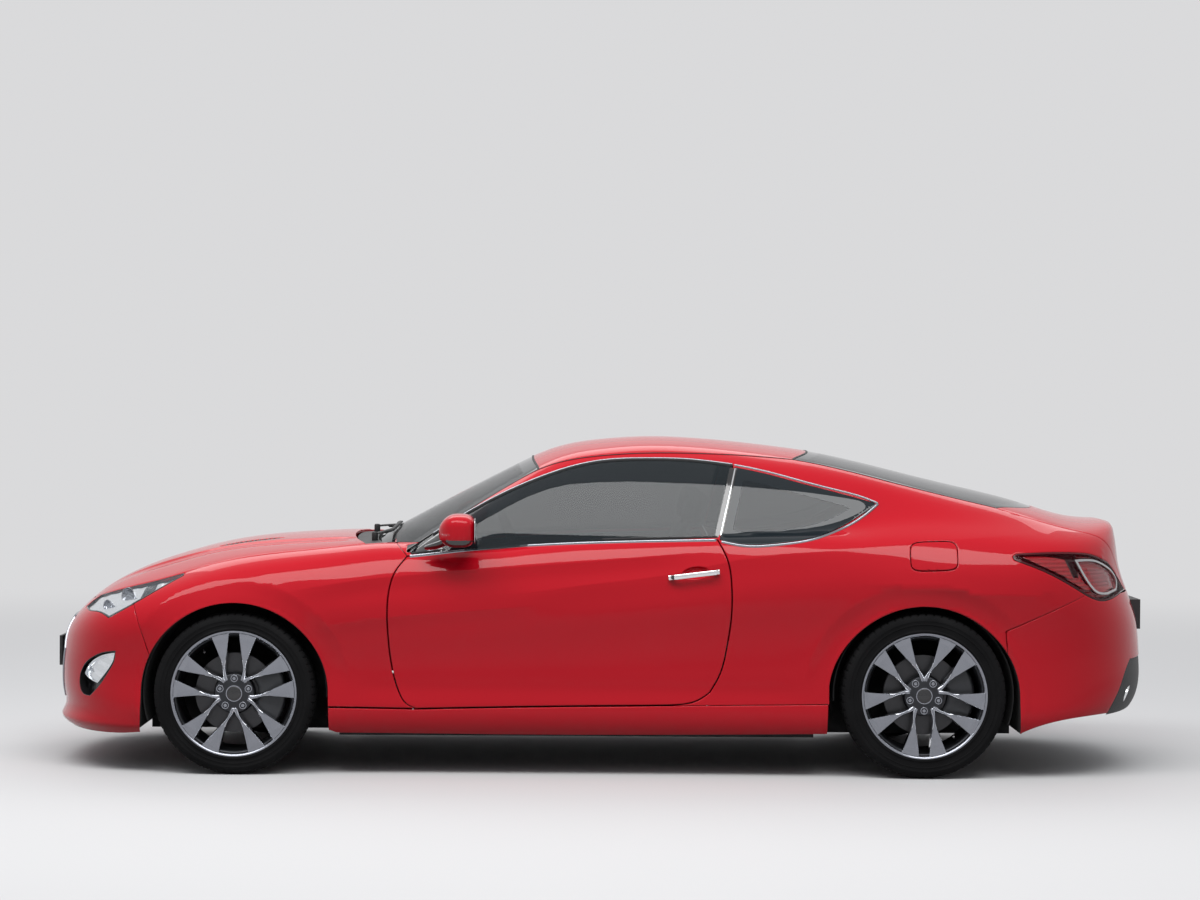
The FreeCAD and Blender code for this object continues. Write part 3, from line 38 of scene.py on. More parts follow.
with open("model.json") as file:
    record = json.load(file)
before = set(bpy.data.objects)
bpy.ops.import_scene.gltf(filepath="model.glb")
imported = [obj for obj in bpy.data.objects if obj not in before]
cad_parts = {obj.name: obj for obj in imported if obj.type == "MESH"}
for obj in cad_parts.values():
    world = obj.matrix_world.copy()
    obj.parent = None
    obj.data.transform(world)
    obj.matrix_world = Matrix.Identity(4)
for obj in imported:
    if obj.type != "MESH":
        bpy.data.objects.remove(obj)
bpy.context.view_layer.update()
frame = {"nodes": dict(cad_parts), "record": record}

# The drawn form is in millimetres, x from the front axle rearwards; the frame's origin is under the middle
AXLE_TO_MIDDLE = 1500.0
FRONT_AXLE, REAR_AXLE = 0.0, 2820.0
FRONT_RADIUS, REAR_RADIUS = 331.3, 339.3
FRONT_MIDDLE, REAR_MIDDLE = 801.0, 809.0
FRONT_ARCH, REAR_ARCH = 372.3, 366.3
FRONT_WIDER, REAR_WIDER = 0.03, 0.07
NOSE_START, NOSE_POWER = -230.0, 2.45
TAIL_START, TAIL_POWER = 3130.0, 2.7
BELT = 950.0
HALF_GAP = 3.0
PANEL_SPACING = 19.0
WELL_DROP = 34.0
COLUMNS_PER_BLOCK = 7

# x, height of the hood, shoulder and deck at the middle, drop at y = 720, blend into the side
DECK = [
    (-900, 430, 120, 70), (-800, 565, 112, 80), (-740, 628, 104, 90), (-648, 710, 92, 120),
    (-505, 792, 82, 170),
    (-327, 856, 72, 220), (-149, 905, 56, 240), (118, 944, 42, 240), (403, 960, 30, 220), (640, 972, 26, 170),
    (900, 976, 44, 110), (1324, 988, 28, 90), (1680, 1003, 24, 90), (1965, 1014, 22, 100),
    (2300, 1032, 26, 140),
    (2641, 1052, 36, 200), (3000, 1066, 50, 220), (3363, 1068, 60, 200), (3608, 1042, 60, 120),
    (3700, 1036, 60, 70),
    (3900, 1030, 60, 50),
]
# x, greatest half width, lift of the widest line
PLAN = [
    (-900, 905, -30), (-380, 905, -20), (0, 930, 0), (400, 908, 5), (640, 896, 10), (1100, 898, 30),
    (1500, 902, 50),
    (1965, 912, 80), (2400, 928, 105), (2820, 934, 120), (3250, 925, 110), (3560, 905, 90), (3900, 880, 70),
]
# z, how far the side lies inside the greatest half width
SECTION = [
    (120, 80), (170, 34), (215, 12), (260, 5), (320, 9), (400, 16), (480, 15), (560, 7), (620, 1), (660, 0),
    (720, 4),
    (790, 17), (850, 36), (910, 62), (980, 105), (1100, 200),
]
# z, x of the nose
NOSE = [
    (120, -700), (155, -770), (190, -808), (225, -800), (250, -794), (302, -801), (368, -807), (430, -807),
    (500, -800), (560, -787), (620, -768), (700, -735), (850, -680), (1100, -600),
]
# z, x of the tail
TAIL = [
    (150, 3600), (200, 3690), (248, 3762), (300, 3800), (351, 3815), (481, 3815), (560, 3809), (640, 3795),
    (700, 3775), (760, 3752), (850, 3722), (925, 3712), (1034, 3697), (1150, 3680),
]
# x, height of the windshield, roof and backlight at the middle, half width of the cabin at the belt
ROOF = [
    (400, 868, 740), (543, 948, 768), (800, 1090, 792), (1100, 1246, 800), (1204, 1297, 802),
    (1318, 1340, 803),
    (1508, 1373, 804), (1697, 1385, 804), (1886, 1380, 802), (2075, 1365, 799), (2264, 1344, 793),
    (2383, 1328, 788),
    (2548, 1296, 778), (2802, 1235, 758), (2996, 1182, 738), (3241, 1110, 706), (3363, 1070, 690),
    (3600, 990, 655),
]
# x, blend between the cabin and the body below it
CABIN_BLEND = [(0, 8), (2200, 8), (2450, 60), (2700, 200), (3000, 260), (3300, 200), (3500, 80), (3800, 40)]


def smooth_line(rows, column=1):
    """Natural cubic: second slopes solved from the rows, zero at both ends, and straight beyond them."""
    table = np.array(rows, float)
    x, y = table[:, 0], table[:, column]
    h = np.diff(x)
    count = len(x)
    system = np.eye(count)
    load = np.zeros(count)
    inner = np.arange(1, count - 1)
    system[inner, inner - 1] = h[:-1]
    system[inner, inner] = 2 * (h[:-1] + h[1:])
    system[inner, inner + 1] = h[1:]
    load[1:-1] = 6 * (np.diff(y[1:]) / h[1:] - np.diff(y[:-1]) / h[:-1])
    m = np.linalg.solve(system, load)
    start = (y[1] - y[0]) / h[0] - h[0] * (2 * m[0] + m[1]) / 6
    end = (y[-1] - y[-2]) / h[-1] + h[-1] * (2 * m[-1] + m[-2]) / 6

    def line(t):
        t = np.asarray(t, float)
        held = np.clip(t, x[0], x[-1])
        i = np.clip(np.searchsorted(x, held) - 1, 0, count - 2)
        u, v, w = x[i + 1] - held, held - x[i], h[i]
        cubic = (m[i] * u ** 3 + m[i + 1] * v ** 3) / (6 * w)
        chord = (y[i] / w - m[i] * w / 6) * u + (y[i + 1] / w - m[i + 1] * w / 6) * v
        return cubic + chord + start * np.minimum(t - x[0], 0) + end * np.maximum(t - x[-1], 0)

    return line


deck_height, deck_drop, deck_blend = smooth_line(DECK), smooth_line(DECK, 2), smooth_line(DECK, 3)
plan_width, plan_lift = smooth_line(PLAN), smooth_line(PLAN, 2)
section_inset, nose_x, tail_x = smooth_line(SECTION), smooth_line(NOSE), smooth_line(TAIL)
roof_height, cabin_width, cabin_blend = smooth_line(ROOF), smooth_line(ROOF, 2), smooth_line(CABIN_BLEND)


def eased(t):
    """0 below 0, 1 above 1, and 3t^2 - 2t^3 between."""
    t = np.clip(t, 0, 1)
    return t * t * (3 - 2 * t)


def blended_max(a, b, reach):
    """max(a, b) plus reach/6 (1 - |a - b|/reach)^3 where the two are within reach."""
    apart = np.abs(a - b)
    return (a + b + apart) / 2 + reach / 6 * np.clip(1 - apart / reach, 0, None) ** 3


def lower_form(p):
    """Body below the belt: a superellipse in plan times the half width, blended with the deck's height."""
    x, y, z = p[:, 0], np.abs(p[:, 1]), p[:, 2]
    width = np.maximum(50, plan_width(x) - section_inset(z - plan_lift(x) * eased((z - 280) / 360)))
    front = np.clip((NOSE_START - x) / (NOSE_START - nose_x(z)), 0, None)
    rear = np.clip((x - TAIL_START) / (tail_x(z) - TAIL_START), 0, None)
    power = np.where(x < NOSE_START, NOSE_POWER, TAIL_POWER)
    reach = ((front + rear) ** power + (y / width) ** power) ** (1 / power)
    top = z - deck_height(x) + deck_drop(x) * (y / 720) ** 2.2
    return blended_max((reach - 1) * width, top, np.clip(deck_blend(x), 30, 400))


def upper_form(p):
    """Cabin: sides 0.40 rise + 0.00055 rise^2 in from the belt, blended with the crowned roof line."""
    x, y, z = p[:, 0], np.abs(p[:, 1]), p[:, 2]
    rise = np.clip(z - BELT, -200, 600)
    side = y - cabin_width(x) + 0.40 * rise + 0.00055 * rise * np.abs(rise)
    sweep = 0.00017 * eased((1500 - x) / 900)
    top = z - roof_height(x - sweep * y * y) + 0.00015 * y * y
    cabin = blended_max(side, top, 130)
    return np.maximum.reduce([cabin, x - 3560, 420 - x, 880 - z])


def form(p):
    """The body and the cabin joined with the cabin's own blend."""
    low, high = lower_form(p), upper_form(p)
    return -blended_max(-low, -high, np.clip(cabin_blend(p[:, 0]), 8, 400))


def leave(start, way, near, far, shape=form):
    """Halves the stretch of every ray until it holds the place where the ray leaves the form."""
    near, far = np.full(len(start), float(near)), np.full(len(start), float(far))
    for _ in range(24):
        middle = (near + far) / 2
        inside = shape(start + middle[:, None] * way) < 0
        near, far = np.where(inside, middle, near), np.where(inside, far, middle)
    return start + near[:, None] * way, -way


def rays(x, y, z):
    return np.stack(np.broadcast_arrays(x, y, z), -1).astype(float)


# Charts: two numbers, both about a millimetre on the surface, to a place on the form and the way inwards
def side_chart(q):
    return leave(rays(q[:, 0], 0, q[:, 1]), rays(0 * q[:, 0], -1, 0), 150, 1100, lower_form)


def body_chart(q):
    return leave(rays(q[:, 0], 0, q[:, 1]), rays(0 * q[:, 0], -1, 0), 150, 1100)


def glass_side_chart(q):
    return leave(rays(q[:, 0], 0, q[:, 1]), rays(0 * q[:, 0], -1, 0), 150, 1100, upper_form)


def top_chart(q):
    return leave(rays(q[:, 0], q[:, 1], 250), rays(0 * q[:, 0], 0, 1), 0, 1400, lower_form)


def cabin_top_chart(q):
    return leave(rays(q[:, 0], q[:, 1], 885), rays(0 * q[:, 0], 0, 1), 0, 800)


def screen_chart(q):
    return leave(rays(q[:, 0], q[:, 1], 885), rays(0 * q[:, 0], 0, 1), 0, 700, upper_form)


RING_Y, RING_Z, RING_RAY = -200.0, 560.0, 700.0
LID_X, LID_Z, LID_RAY = 3050.0, 600.0, 600.0
END_RAY = 700.0


def ring_chart(q):
    angle = q[:, 1] / RING_RAY
    return leave(rays(q[:, 0], RING_Y, RING_Z), rays(0 * angle, -np.cos(angle), np.sin(angle)), 20, 1300)


def nose_chart(q):
    angle = q[:, 0] / END_RAY
    return leave(rays(NOSE_START, 0, q[:, 1]), rays(-np.cos(angle), np.sin(angle), 0), 50, 1200, lower_form)


def tail_chart(q):
    angle = q[:, 0] / END_RAY
    return leave(rays(TAIL_START, 0, q[:, 1]), rays(np.cos(angle), np.sin(angle), 0), 50, 1200, lower_form)


def lid_chart(q):
    angle = q[:, 1] / LID_RAY
    return leave(rays(LID_X, q[:, 0], LID_Z), rays(np.cos(angle), 0, np.sin(angle)), 20, 1000)


def front_chart(q):
    return leave(rays(NOSE_START, q[:, 0], q[:, 1]), rays(-1 + 0 * q[:, 0], 0, 0), 10, 1200, lower_form)


# The numbers that a chart gives to places on the form
def on_ring(p):
    return np.stack([p[:, 0], RING_RAY * np.arctan2(p[:, 2] - RING_Z, RING_Y - p[:, 1])], -1)


def on_nose(p):
    return np.stack([END_RAY * np.arctan2(p[:, 1], NOSE_START - p[:, 0]), p[:, 2]], -1)


def on_tail(p):
    return np.stack([END_RAY * np.arctan2(p[:, 1], p[:, 0] - TAIL_START), p[:, 2]], -1)


def on_lid(p):
    return np.stack([p[:, 1], LID_RAY * np.arctan2(p[:, 2] - LID_Z, p[:, 0] - LID_X)], -1)


# Outlines: runs of numbers, two straight and more as a smooth curve
def traced(points, step):
    """Natural cubics of both numbers over the chord length, sampled every step, without the last place."""
    points = np.array(points, float)
    size = np.hypot(*np.diff(points, axis=0).T)
    along = np.concatenate([[0], np.cumsum(size)])
    t = np.linspace(0, along[-1], max(2, int(np.ceil(along[-1] / step)) + 1))
    if len(points) == 2:
        share = (t / along[-1])[:, None]
        return points[0] * (1 - share) + points[1] * share
    rows = np.column_stack([along, points])
    return np.column_stack([smooth_line(rows)(t), smooth_line(rows, 2)(t)])


def loop(*runs, step=12.0):
    """The runs in a closed row of places, each about a step from the next."""
    return np.concatenate([traced(run, step)[:-1] for run in runs])


def grown(ring, distance):
    """Every place moved along the mean of its two sides' normals, outwards for a positive distance."""
    ahead = np.roll(ring, -1, 0) - ring
    ahead /= np.maximum(np.hypot(*ahead.T)[:, None], 1e-9)
    behind = np.roll(ahead, 1, 0)
    area = np.sum(ring[:, 0] * np.roll(ring[:, 1], -1) - np.roll(ring[:, 0], -1) * ring[:, 1])
    turn = 1 if area > 0 else -1
    mean = np.stack([ahead[:, 1] + behind[:, 1], -ahead[:, 0] - behind[:, 0]], -1) * turn
    return ring + distance * mean * 2 / np.maximum(np.sum(mean ** 2, 1), 0.7)[:, None]


def opening_crown(x, z, radius, wider, t):
    """(x + r (1 + wider cos^2 t) cos t, z + r sin t): round at its top and wider at the axle."""
    return np.stack([x + radius * (1 + wider * np.cos(t) ** 2) * np.cos(t), z + radius * np.sin(t)], -1)


def wheel_opening(axle, wheel_radius, radius, wider):
    """The crown over the wheel, closed by two legs that spread to a foot below the body."""
    crown = opening_crown(axle, wheel_radius, radius, wider, np.linspace(0, np.pi, 120))
    corners = [crown[-1], crown[-1] + [-5, -195], crown[0] + [5, -195], crown[0]]
    return np.concatenate([crown[:-1]] + [traced([corners[k], corners[k + 1]], 15)[:-1] for k in range(3)])


def opening_line(axle, wheel_radius, radius, wider, foot=186.0):
    """The opening's edge from its foot behind the wheel, over it, to the foot in front."""
    crown = opening_crown(axle, wheel_radius, radius, wider, np.linspace(0, np.pi, 80))
    rise = np.linspace(foot, wheel_radius, 12)[:-1]
    spread = 5 * (wheel_radius - rise) / 195
    behind = np.stack([crown[0, 0] + spread, rise], -1)
    ahead = np.stack([crown[-1, 0] - spread, rise], -1)[::-1]
    return np.concatenate([behind, crown, ahead])


FRONT_OPENING = (FRONT_AXLE, FRONT_RADIUS, FRONT_ARCH, FRONT_WIDER)
REAR_OPENING = (REAR_AXLE, REAR_RADIUS, REAR_ARCH, REAR_WIDER)


def oval(x, y, wide, high, lean=0.0, power=4.5, count=64):
    """A loop |u/wide|^n + |v/high|^n = 1 about a place, sheared by the lean."""
    t = np.arange(count) / count * 2 * np.pi
    u, v = (np.sign(f) * np.abs(f) ** (2 / power) * size for f,
        size in ((np.cos(t), wide), (np.sin(t), high)))
    return np.stack([x + u + v * lean, y + v], -1)


def holds(ring, q):
    """True for the places that a ray to the right leaves the loop from an odd number of times."""
    a, b = ring, np.roll(ring, -1, 0)
    found = np.zeros(len(q), bool)
    for part in np.array_split(np.arange(len(q)), max(1, len(q) * len(ring) // 4000000)):
        x, y = q[part, 0, None], q[part, 1, None]
        spans = (a[:, 1] > y) != (b[:, 1] > y)
        rise = np.where(b[:, 1] == a[:, 1], 1, b[:, 1] - a[:, 1])
        found[part] = np.sum(spans & (x < a[:, 0] + (y - a[:, 1]) * (b[:, 0] - a[:, 0]) / rise), 1) % 2 == 1
    return found


def nearest(sides, q):
    """The distance from every place to the nearest of the sides."""
    a, b = sides
    way = b - a
    size = np.maximum(np.sum(way ** 2, 1), 1e-12)
    found = np.empty(len(q))
    for part in np.array_split(np.arange(len(q)), max(1, len(q) * len(a) // 2000000)):
        off = q[part, None] - a
        share = np.clip(np.sum(off * way, 2) / size, 0, 1)
        found[part] = np.sqrt(np.min(np.sum((off - share[..., None] * way) ** 2, 2), 1))
    return found


def triangles(places, rings):
    """Delaunay triangles of the places, with every side of every ring kept."""
    points = np.concatenate(list(rings) + [places])
    sides, start = [], 0
    for ring in rings:
        index = start + np.arange(len(ring))
        sides.append(np.stack([index, start + (np.arange(len(ring)) + 1) % len(ring)], -1))
        start += len(ring)
    result = delaunay_2d_cdt([Vector(p) for p in points.tolist()], np.concatenate(sides).tolist(), [], 0,
        1e-4, False)
    return np.array([tuple(v) for v in result[0]]), np.array(result[2])


def kept(points, faces, keeps, cuts):
    """The triangles whose middle lies in every keep and in no cut."""
    middle = points[faces].mean(1)
    good = np.ones(len(faces), bool)
    for ring in keeps:
        good &= holds(ring, middle)
    for ring in cuts:
        good &= ~holds(ring, middle)
    a, b, c = (points[faces[:, k]] for k in range(3))
    area = (b[:, 0] - a[:, 0]) * (c[:, 1] - a[:, 1]) - (b[:, 1] - a[:, 1]) * (c[:, 0] - a[:, 0])
    return faces[good & (np.abs(area) > 1e-4)]


def edge_sides(faces):
    """The sides that only one triangle has, in that triangle's direction."""
    sides = np.concatenate([faces[:, [0, 1]], faces[:, [1, 2]], faces[:, [2, 0]]])
    key = np.sort(sides, 1)
    _, index, count = np.unique(key, axis=0, return_index=True, return_counts=True)
    return sides[index[count == 1]]


def trimmed(keeps, cuts, spacing, rim, extra=()):
    """A grid of places inside the outline, with rows beside its edges, joined by triangles."""
    points, faces = triangles(np.zeros((0, 2)), keeps + cuts)
    faces = kept(points, faces, keeps, cuts)
    edge = edge_sides(faces)
    a, b = points[edge[:, 0]], points[edge[:, 1]]
    sides = (a, b)
    way = (b - a) / np.maximum(np.hypot(*(b - a).T)[:, None], 1e-9)
    middle = (a + b) / 2
    low, high = middle.min(0), middle.max(0)
    rows = np.arange(low[1], high[1], spacing * 0.87)
    x, y = np.meshgrid(np.arange(low[0], high[0], spacing), rows)
    x = x + (np.arange(len(rows)) % 2)[:, None] * spacing / 2
    grid = np.stack([x.ravel(), y.ravel()], -1)
    inward = np.stack([-way[:, 1], way[:, 0]], -1)
    near = [middle + inward * rim * share for share in (0.4, 1.0)] + [a + inward * rim * 1.0]
    near.append(middle + inward * (rim + 0.35 * spacing))
    near = np.concatenate(near)
    reach = nearest(sides, near)
    wanted = np.concatenate(
        [np.full(len(a), rim * 0.4), np.full(len(a) * 2, rim), np.full(len(a), rim + 0.35 * spacing)])
    near = near[reach > wanted * 0.75]
    grid = np.concatenate([grid] + [np.asarray(e, float) for e in extra])
    grid = grid[nearest(sides, grid) > rim + 0.55 * spacing] if len(grid) else grid
    points, faces = triangles(np.concatenate([grid, near]), keeps + cuts)
    faces = kept(points, faces, keeps, cuts)
    used, index = np.unique(faces, return_inverse=True)
    return points[used], index.reshape(faces.shape), sides


def unit(v):
    return v / np.maximum(np.linalg.norm(v, axis=-1, keepdims=True), 1e-12)


class Shape:
    """A mesh in millimetres: vertices, triangles, corner normals, finish of each, edge distance."""

    def __init__(self, points, faces, normals, finish=None, border=None):
        self.points, self.faces, self.normals = points, faces, normals
        self.finish = np.zeros(len(faces), int) if finish is None else finish
        self.border = np.zeros(len(points)) if border is None else border

    def mirrored(self):
        flip = np.array([1.0, -1.0, 1.0])
        return Shape(self.points * flip, self.faces[:, ::-1], self.normals[:, ::-1] * flip, self.finish,
            self.border)

    def moved(self, x=0.0, y=0.0, z=0.0):
        return Shape(self.points + [x, y, z], self.faces, self.normals, self.finish, self.border)

    def placed(self, turn, place):
        """Turned by a matrix and moved to a place."""
        turn = np.asarray(turn, float)
        return Shape(self.points @ turn.T + place, self.faces, self.normals @ turn.T, self.finish,
            self.border)

    def finished(self, number):
        return Shape(self.points, self.faces, self.normals, np.full(len(self.faces), number), self.border)


def joined(*shapes):
    start = np.cumsum([0] + [len(s.points) for s in shapes])
    return Shape(
        np.concatenate([s.points for s in shapes]),
            np.concatenate([s.faces + n for s, n in zip(shapes, start)]),
        np.concatenate([s.normals for s in shapes]), np.concatenate([s.finish for s in shapes]),
        np.concatenate([s.border for s in shapes]))


def panel(chart, keeps, cuts=(), spacing=14.0, thickness=2.0, outside=0.0, rim=3.0, relief=None, extra=()):
    """A closed sheet on the form: depth below the form is outside + 0.9 rim (1 - d/rim)^2 at d from the edge,
    less the relief, and the back lies a thickness deeper. Normals are differences of the same formula."""
    flat, faces, sides = trimmed(list(keeps), list(cuts), spacing, rim, extra)

    def place(q, reach):
        point, way = chart(q)
        depth = outside + 0.9 * rim * np.clip(1 - reach / rim, 0, None) ** 2
        if relief is not None:
            depth = depth - relief(point)
        return point + way * depth[:, None], way

    reach = nearest(sides, flat)
    front, way = place(flat, reach)
    slopes = []
    for step in ((0.6, 0), (0, 0.6)):
        ahead, behind = flat + step, flat - step
        slopes.append(place(ahead, nearest(sides, ahead))[0] - place(behind, nearest(sides, behind))[0])
    normal = unit(np.cross(slopes[0], slopes[1]))
    # a place on the very edge has the same distance on both sides of it, so it leans by hand
    turned = np.sign(np.sum(normal * way, 1))
    normal = -normal * turned[:, None]
    flat_normal = np.cross(front[faces[:, 1]] - front[faces[:, 0]], front[faces[:, 2]] - front[faces[:, 0]])
    wrong = np.sum(flat_normal * normal[faces].sum(1), 1) < 0
    faces[wrong] = faces[wrong][:, ::-1]
    base = chart(flat)[0]
    lift = relief(base) if relief is not None else np.zeros(len(flat))
    back = base + way * (outside + thickness - lift)[:, None]
    count = len(flat)
    edge = edge_sides(faces)
    a, b = edge[:, 0], edge[:, 1]
    out = unit(np.cross(front[b] - front[a], -way[a] + 0 * front[a]))
    rims = np.concatenate([np.stack([a, a + count, b], -1), np.stack([b, a + count, b + count], -1)])
    rim_normals = np.repeat(np.concatenate([out, out])[:, None], 3, 1)
    all_faces = np.concatenate([faces, faces[:, ::-1] + count, rims])
    normals = np.concatenate([normal[faces], -normal[faces[:, ::-1]], rim_normals])
    return Shape(np.concatenate([front, back]), all_faces, normals, None, np.concatenate([reach, reach]))


def mesh_object(name, shape, finishes, smooth=True):
    """Puts the arrays into a mesh in the frame's metres, with its corner normals and its edge distances."""
    mesh = bpy.data.meshes.new(name)
    points = (shape.points - [AXLE_TO_MIDDLE, 0, 0]) / 1000
    count = len(shape.faces)
    mesh.vertices.add(len(points))
    mesh.vertices.foreach_set("co", points.astype(np.float32).ravel())
    mesh.loops.add(count * 3)
    mesh.loops.foreach_set("vertex_index", shape.faces.astype(np.int32).ravel())
    mesh.polygons.add(count)
    mesh.polygons.foreach_set("loop_start", np.arange(count, dtype=np.int32) * 3)
    mesh.polygons.foreach_set("material_index", shape.finish.astype(np.int32))
    mesh.update(calc_edges=True)
    for finish in finishes:
        mesh.materials.append(finish)
    border = mesh.attributes.new("border", "FLOAT", "POINT")
    border.data.foreach_set("value", shape.border.astype(np.float32))
    mesh.polygons.foreach_set("use_smooth", np.full(count, smooth))
    if smooth:
        mesh.normals_split_custom_set(shape.normals.reshape(-1, 3).tolist())
    obj = bpy.data.objects.new(name, mesh)
    bpy.context.scene.collection.objects.link(obj)
    return obj


def grid_shape(points, close_u=False, close_v=False, finish=0):
    """A grid of places, rows by columns, as triangles; normals are the cross of the grid's two slopes."""
    rows, columns = points.shape[:2]
    index = np.arange(rows * columns).reshape(rows, columns)
    if close_u:
        index = np.concatenate([index, index[:1]])
    if close_v:
        index = np.concatenate([index, index[:, :1]], 1)
    a, b, c, d = index[:-1, :-1].ravel(), index[1:, :-1].ravel(), index[1:, 1:].ravel(), index[:-1,
        1:].ravel()
    faces = np.concatenate([np.stack([a, b, c], -1), np.stack([a, c, d], -1)])

    def slope(axis, close):
        if close:
            return np.roll(points, -1, axis) - np.roll(points, 1, axis)
        return np.gradient(points, axis=axis)

    normal = unit(np.cross(slope(0, close_u), slope(1, close_v)).reshape(-1, 3))
    flat = points.reshape(-1, 3)
    size = np.linalg.norm(
        np.cross(flat[faces[:, 1]] - flat[faces[:, 0]], flat[faces[:, 2]] - flat[faces[:, 0]]), axis=1)
    wide = index.shape[1] - 1
    numbers = np.tile(np.broadcast_to(finish, wide), 2 * (index.shape[0] - 1))
    faces, numbers = faces[size > 1e-9], numbers[size > 1e-9]
    return Shape(flat, faces, normal[faces], numbers)


def merged(shape):
    """The same triangles with places that coincide made one."""
    _, first, index = np.unique(np.round(shape.points, 4), axis=0, return_index=True, return_inverse=True)
    faces = index.ravel()[shape.faces]
    good = (faces[:, 0] != faces[:, 1]) & (faces[:, 1] != faces[:, 2]) & (faces[:, 2] != faces[:, 0])
    return Shape(shape.points[first], faces[good], shape.normals[good], shape.finish[good],
        shape.border[first])


def creased(shape, degrees=35.0):
    """Corner normals averaged over the triangles round a vertex that turn by less than the angle."""
    a, b, c = (shape.points[shape.faces[:, k]] for k in range(3))
    weighted = np.cross(b - a, c - a)
    normal = unit(weighted)
    total = np.zeros_like(shape.points)
    for k in range(3):
        np.add.at(total, shape.faces[:, k], weighted)
    smooth = unit(total)[shape.faces]
    same = np.sum(smooth * normal[:, None], 2) > math.cos(math.radians(degrees))
    corners = np.where(same[..., None], smooth, normal[:, None])
    return Shape(shape.points, shape.faces, corners, shape.finish, shape.border)


def swept(path, out, profile, closed=False, finish=0, angle=35.0):
    """A closed profile of (across, out) carried along a path: place + across (tangent x out) + out."""
    profile = np.array(profile, float)
    ahead = np.roll(path, -1, 0) - np.roll(path, 1, 0) if closed else np.gradient(path, axis=0)
    ahead = unit(ahead)
    out = unit(out - np.sum(out * ahead, 1, keepdims=True) * ahead)
    across = np.cross(ahead, out)
    points = path[:, None] + profile[None, :, :1] * across[:, None] + profile[None, :, 1:] * out[:, None]
    body = grid_shape(points, close_u=closed, close_v=True, finish=finish)
    if not closed:
        caps = []
        count = len(profile)
        fan = np.stack([np.zeros(count - 2, int), np.arange(1, count - 1), np.arange(2, count)], -1)
        last = (len(path) - 1) * count
        for start, order in ((0, 1), (last, -1)):
            caps.append((fan + start)[:, ::order])
        faces = np.concatenate([body.faces] + caps)
        body = Shape(body.points, faces, np.zeros((len(faces), 3, 3)), np.full(len(faces), finish))
    return outward(creased(body, angle))


def outward(shape):
    """The same closed shape with its triangles turned so that its volume is positive."""
    a, b, c = (shape.points[shape.faces[:, k]] for k in range(3))
    if np.sum(a * np.cross(b, c)) < 0:
        return Shape(shape.points, shape.faces[:, ::-1], -shape.normals[:, ::-1], shape.finish, shape.border)
    return shape


def turned(profile, count=96, finish=0, angle=30.0, wave=None):
    """(radius, along) corners of a closed profile turned about the Y axis; wave adds to the radius."""
    profile = np.array(profile, float)
    t = np.arange(count) / count * 2 * np.pi
    radius = np.broadcast_to(profile[None, :, 0], (count, len(profile)))
    if wave is not None:
        radius = radius + wave(t[:, None], profile[None, :, 1], profile[None, :, 0])
    points = np.stack([radius * np.cos(t)[:, None], np.broadcast_to(profile[:, 1], radius.shape),
        radius * np.sin(t)[:, None]], -1)
    return outward(creased(merged(grid_shape(points, close_u=True, close_v=True, finish=finish)), angle))


def finish_shape(name, shape, finishes, body, slot, replaces=(), smooth=True):
    obj = mesh_object(name, shape, finishes, smooth)
    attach(obj, body)
    if replaces:
        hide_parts(*replaces)
    return obj


def capped(points, finish=0, angle=35.0):
    """Rings of places, one per row, joined into a closed skin with each end drawn to its ring's middle."""
    first, last = points[:1].mean(1, keepdims=True), points[-1:].mean(1, keepdims=True)
    width = points.shape[1]
    rows = np.concatenate([np.repeat(first, width, 1), points, np.repeat(last, width, 1)])
    return outward(creased(merged(grid_shape(rows, close_v=True, finish=finish)), angle))


def aimed(shape, way, place):
    """The shape with its own Y axis turned along a way, and moved to a place."""
    along = unit(np.asarray(way, float))
    side = unit(np.cross(along, [0.0, 0.0, 1.0] if abs(along[2]) < 0.9 else [1.0, 0.0, 0.0]))
    return shape.placed(np.stack([side, along, np.cross(side, along)], -1), place)


def rounded_box(size, power=6.0, count=18, finish=0):
    """A cube's six grids drawn onto (|x|^n + |y|^n + |z|^n)^(1/n) = 1 and stretched to the half sizes."""
    a, b = np.meshgrid(np.tan(np.linspace(-np.pi / 4, np.pi / 4, count)),
        np.tan(np.linspace(-np.pi / 4, np.pi / 4, count)),
                       indexing="ij")
    one = np.ones_like(a)
    sheets = []
    for axis in range(3):
        for sign in (1, -1):
            grid = np.stack([one * sign, a * sign, b], -1)
            sheets.append(grid_shape(np.roll(grid, axis, 2), finish=finish))
    box = merged(joined(*sheets))
    reach = np.sum(np.abs(box.points) ** power, 1, keepdims=True) ** (1 / power)
    box.points = box.points / reach * size
    return outward(creased(box, 60))


def bent(shape, change, angle=60.0):
    """The same triangles after a change of their places, with new normals."""
    return outward(creased(
        Shape(change(shape.points), shape.faces, shape.normals, shape.finish, shape.border), angle))


def ribbon(chart, ring, near, far, thick=2.5, finish=0):
    """A closed wall that goes from one depth to another behind a loop, a thickness wide on its inner side."""
    inner = grown(ring, -thick)
    rows = []
    for places, depth in ((ring, near), (ring, far), (inner, far), (inner, near)):
        point, way = chart(places)
        rows.append(point + way * depth)
    return outward(creased(grid_shape(np.stack(rows, 1), close_u=True, close_v=True, finish=finish), 50))


def moulding(chart, run, profile, depth=0.0, finish=0, step=12.0):
    """A strip with a closed profile carried along a run of a chart, at a depth below the form."""
    place, way = chart(traced(run, step))
    return swept(place + way * depth, -way, profile, False, finish)


def strip_profile(width, height, base=-2.0):
    """A flat oval section: half width cos t across, and out from the base to the height."""
    t = np.linspace(0, 2 * np.pi, 12, endpoint=False)
    out = np.where(np.sin(t) > 0, np.sin(t) * height, np.sin(t) * -base)
    return np.stack([np.cos(t) * width / 2, out], -1)


